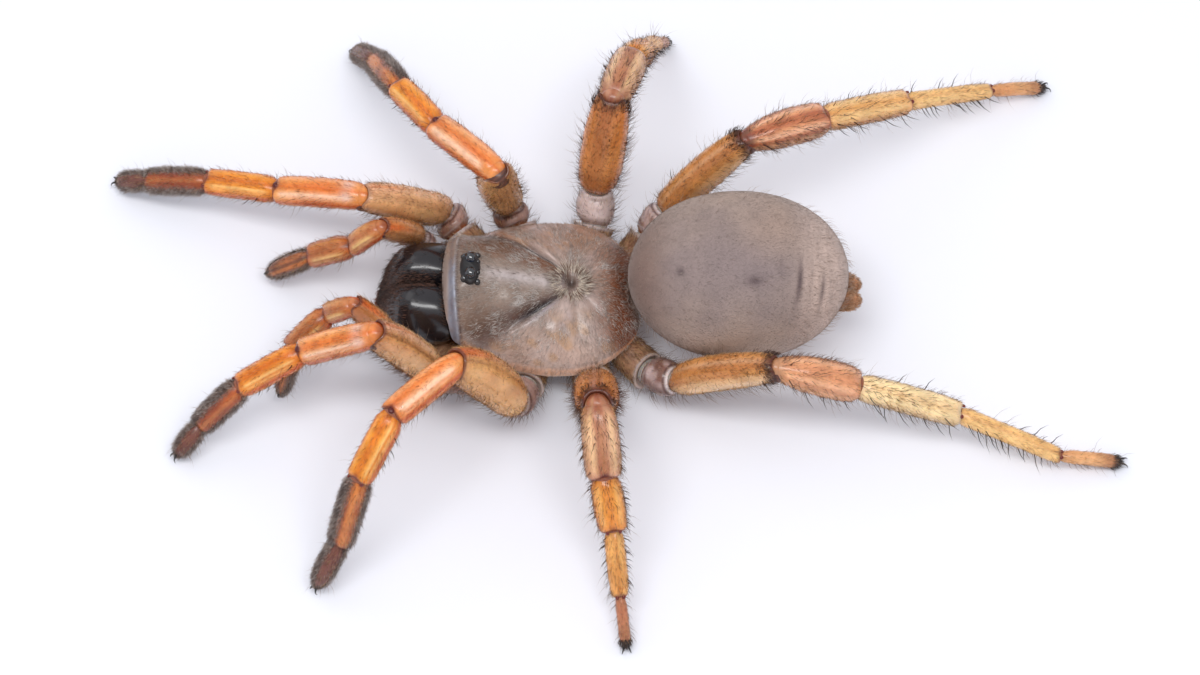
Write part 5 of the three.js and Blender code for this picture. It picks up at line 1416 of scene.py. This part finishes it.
def make_spinnerets():
    bag = Bag()
    coat = Coat("spinneret_hairs", 61)
    rng = coat.rng
    v, f, q = ball(np.array([14.15, -0.05, 4.2]), np.array([0.95, 1.28, 0.62]), [[0.9, 0, -0.43], [0, 1, 0], [0.43, 0, 0.9]], 20, 30)
    bag.add(v, f, mixc(srgb(150, 96, 62), srgb(120, 72, 44), 0.5 + 0.5 * noise(v, 0.6, 1)))
    n = 900
    sel = rng.integers(0, len(q), n)
    coat.add(v[sel], q[sel], np.broadcast_to([1.0, 0, -0.2], (n, 3)), 0.4, 0.014, 0.5, srgb(130, 84, 56), srgb(180, 140, 108),
             np.stack([0.05 + 0.3 * rng.random(n), rng.random(n)], -1), stray=0.5)
    for sy in (-1, 1):
        y0, y1 = (-0.8, -0.82) if sy < 0 else (0.28, 0.26)
        a, b = np.array([13.9, y0, 4.6]), np.array([15.42, y1, 4.62])
        # three joints, each a little narrower than the last, and a rounded end
        cuts = [(0.0, 0.5, 0.56, 0.62), (0.42, 0.82, 0.62, 0.58), (0.74, 1.0, 0.56, 0.46)]
        for c0, c1, ra, rb in cuts:
            t = np.linspace(c0, c1, 12)[:, None]
            pts = a + (b - a) * t + np.array([0, 0, 0.12]) * np.sin(np.pi * t)
            e = np.linspace(0, 1, 12)
            rad = (ra + (rb - ra) * e) * np.sqrt(np.clip(1 - (2 * e - 1) ** 6 * 0.5, 0.05, 1))
            v, f = horn(pts, rad, 22)
            bag.add(v, f, mixc(srgb(214, 142, 92), srgb(164, 102, 64), 0.5 + 0.5 * noise(v, 0.5, 2)))
            m = 620
            tt, aa = rng.random(m), rng.uniform(0, 2 * np.pi, m)
            ctr = a + (b - a) * (c0 + (c1 - c0) * tt)[:, None] + np.array([0, 0, 0.12]) * np.sin(np.pi * (c0 + (c1 - c0) * tt))[:, None]
            nn = np.stack([0 * aa, np.cos(aa), np.sin(aa)], -1)
            rr = ra + (rb - ra) * tt
            tone = rng.random(m)
            coat.add(ctr + nn * rr[:, None], nn, np.broadcast_to(unit(b - a), nn.shape), 0.34, 0.012, 0.55,
                     mixc(srgb(146, 90, 56), srgb(222, 160, 108), tone), mixc(srgb(180, 130, 92), srgb(232, 200, 170), tone),
                     np.stack([0.4 + 0.5 * (c0 + (c1 - c0) * tt) + 0 * aa, aa / 6.3], -1), stray=0.35)
        v, f, q = ball(b, np.array([0.42, 0.46, 0.44]), np.eye(3), 18, 24)
        bag.add(v, f, mixc(srgb(216, 150, 104), srgb(170, 108, 72), 0.5 + 0.5 * noise(v, 0.4, 2)))
        m = 420
        aim = unit(rng.normal(size=(m, 3)) + np.array([0.9, 0, 0.3]))
        tone = rng.random(m)
        coat.add(b + aim * np.array([0.41, 0.45, 0.43]), aim, np.broadcast_to([1.0, 0, 0.1], aim.shape), 0.3, 0.012, 0.8,
                 mixc(srgb(146, 90, 56), srgb(222, 160, 108), tone), mixc(srgb(180, 130, 92), srgb(232, 200, 170), tone),
                 np.stack([0.9 + 0 * tone, rng.random(m)], -1), stray=0.4)
        # the small middle pair
        pts = bezier([14.6, sy * 0.22, 3.95], [15.0, sy * 0.26, 3.9], [15.25, sy * 0.3, 3.74], 8)
        v, f = horn(pts, np.linspace(0.18, 0.09, 8), 14)
        bag.add(v, f, srgb(150, 96, 62))
    ob = bag.object("spinneret_joints", [MAT["spinneret"]])
    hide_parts("spinnerets")
    hb = coat.object(MAT["hair"])


# ------------------------------------------------------------------ underside and waist
def make_under():
    bag = Bag()
    NX, NT = 60, 64
    s = np.linspace(0, 1, NX)
    th = np.linspace(0, 2 * np.pi, NT, endpoint=False)
    S, T = np.meshgrid(s, th, indexing="ij")
    x = -7.9 + 9.45 * S
    w = 2.12 * np.sin(np.pi * (0.14 + 0.72 * S)) ** 0.6 - 0.06
    w = w - 0.16 * bump((x % 2.55) / 2.55, 0.5, 0.22) * (np.abs(np.cos(T)) > 0.3)
    hz = 0.86 * np.sin(np.pi * (0.2 + 0.6 * S)) ** 0.4 - 0.05
    c, sn = np.cos(T), np.sin(T)
    y = w * np.sign(c) * np.abs(c) ** 0.7
    z = 1.725 + hz * np.sign(sn) * np.abs(sn) ** 0.7
    p = np.stack([x, y, z], -1)
    # three pairs of smooth oval marks
    col = mixc(srgb(170, 112, 66), srgb(146, 92, 54), 0.5 + 0.5 * noise(p, 1.2, 0))
    for mx, my in ((-5.2, 1.35), (-3.1, 1.3), (-0.9, 0.95)):
        m = np.exp(-((x - mx) / 0.35) ** 2 - ((np.abs(y) - my) / 0.22) ** 2) * (sn < 0)
        col = mixc(col, srgb(196, 148, 100), m * 0.8)
        p[..., 2] += 0.04 * m
    q = p.reshape(-1, 3)
    cc = col.reshape(-1, 3)
    n = len(q)
    q = np.concatenate([q, [p[0].mean(0)], [p[-1].mean(0)]])
    cc = np.concatenate([cc, cc[:1], cc[-1:]])
    f = [grid_faces(NX, NT), fan(n, np.arange(NT), flip=True), fan(n + 1, (NX - 1) * NT + np.arange(NT))]
    bag.add(q, facing_out(q, f), cc)
    # the lip in front of it
    v, f, qq = ball(np.array([-8.05, 0, 1.5]), np.array([0.55, 0.72, 0.42]), np.eye(3), 16, 26)
    bag.add(v, f, srgb(150, 88, 52))
    ob = bag.object("sternum_plate", [MAT["coxa"]])
    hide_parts("sternum")
    coat = Coat("sternum_hairs", 71)
    rng = coat.rng
    m = 2600
    x, y = rng.uniform(-7.5, 1.1, m), rng.uniform(-1, 1, m)
    w = 2.0 * np.sin(np.pi * (0.14 + 0.72 * (x + 7.9) / 9.45)) ** 0.6
    yy = y * w * 0.92
    zz = 1.725 - 0.86 * np.sin(np.pi * (0.2 + 0.6 * (x + 7.9) / 9.45)) ** 0.4 * (1 - np.abs(y) ** 4) ** 0.5
    p = np.stack([x, yy, zz + 0.03], -1)
    nn = unit(np.stack([0 * x, 0.4 * y, -np.ones(m)], -1))
    coat.add(p, nn, np.broadcast_to([1.0, 0, 0], p.shape), 0.4, 0.014, 0.45, srgb(96, 62, 40), srgb(150, 110, 80),
             np.stack([(x + 7.9) / 9.45, (y + 1) / 2], -1), stray=0.4)
    hb = coat.object(MAT["hair"])
    # the waist
    bag = Bag()
    pts = bezier([1.3, 0, 2.5], [2.9, 0.05, 2.5], [4.3, 0.1, 3.3], 26)
    rad = curve([0, .2, .5, .8, 1], [0.6, 0.48, 0.42, 0.5, 0.66])(np.linspace(0, 1, 26)) * (1 + 0.04 * np.sin(np.linspace(0, 1, 26) * 46))
    v, f = horn(pts, rad, 30)
    bag.add(v, f, mixc(srgb(196, 158, 128), srgb(160, 110, 78), 0.5 + 0.5 * noise(v, 0.4, 1)))
    ob = bag.object("pedicel_skin", [MAT["membrane"]])
    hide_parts("pedicel")


# ------------------------------------------------------------------ build the animal
make_carapace()
make_eyes()
for side, label in ((1, "right"), (-1, "left")):
    make_jaw(side, label)
make_abdomen()
make_spinnerets()
make_under()
for key, chain in list(LEGS.items()) + list(PALPS.items()):
    make_leg(key, chain)

# ------------------------------------------------------------------ floor, light and camera
scene = bpy.context.scene
fm, fnt, fb = new_material("floor_white")
fb.inputs["Base Color"].default_value = (0.86, 0.872, 0.925, 1)
fb.inputs["Roughness"].default_value = 0.6
fb.inputs["Specular IOR Level"].default_value = 0.2
me = bpy.data.meshes.new("floor")
e = 3.0
me.from_pydata([(-e, -e, 0), (e, -e, 0), (e, e, 0), (-e, e, 0)], [], [(0, 1, 2, 3)])
me.materials.append(fm)
floor = bpy.data.objects.new("floor", me)
scene.collection.objects.link(floor)

world = bpy.data.worlds.new("studio")
scene.world = world
world.use_nodes = True
bg = world.node_tree.nodes["Background"]
bg.inputs[0].default_value = (0.92, 0.935, 1.0, 1)
bg.inputs[1].default_value = 0.73


def area(name, place, size, power, aim=(0, 0, 0.005), colour=(1, 1, 1)):
    l = bpy.data.lights.new(name, "AREA")
    l.shape = "RECTANGLE"
    l.size, l.size_y = size
    l.energy = power
    l.color = colour
    o = bpy.data.objects.new(name, l)
    scene.collection.objects.link(o)
    o.location = place
    d = Vector(aim) - Vector(place)
    o.rotation_euler = d.to_track_quat("-Z", "Y").to_euler()
    return o


area("key", (-0.02, -0.02, 0.31), (0.32, 0.08), 0.07, colour=(1.0, 0.995, 0.985))
area("streak", (-0.012, -0.06, 0.28), (0.26, 0.062), 0.42)
area("fill", (-0.18, 0.16, 0.24), (0.20, 0.16), 0.06, colour=(1.0, 0.995, 0.985))

EL = math.radians(64)
target = (np.array([0, -3.04, 4.0]) + SHIFT) * MM
back = np.array([0, -math.cos(EL), math.sin(EL)])
cam_data = bpy.data.cameras.new("camera")
cam_data.lens = 150
cam_data.sensor_width = 36
cam_data.clip_start = 0.01
cam_data.clip_end = 20
cam = bpy.data.objects.new("camera", cam_data)
scene.collection.objects.link(cam)
loc = target + back * 0.305
cam.location = Vector(loc)
cam.rotation_euler = Vector(-back).to_track_quat("-Z", "Y").to_euler()
scene.camera = cam
scene.view_settings.view_transform = "Standard"

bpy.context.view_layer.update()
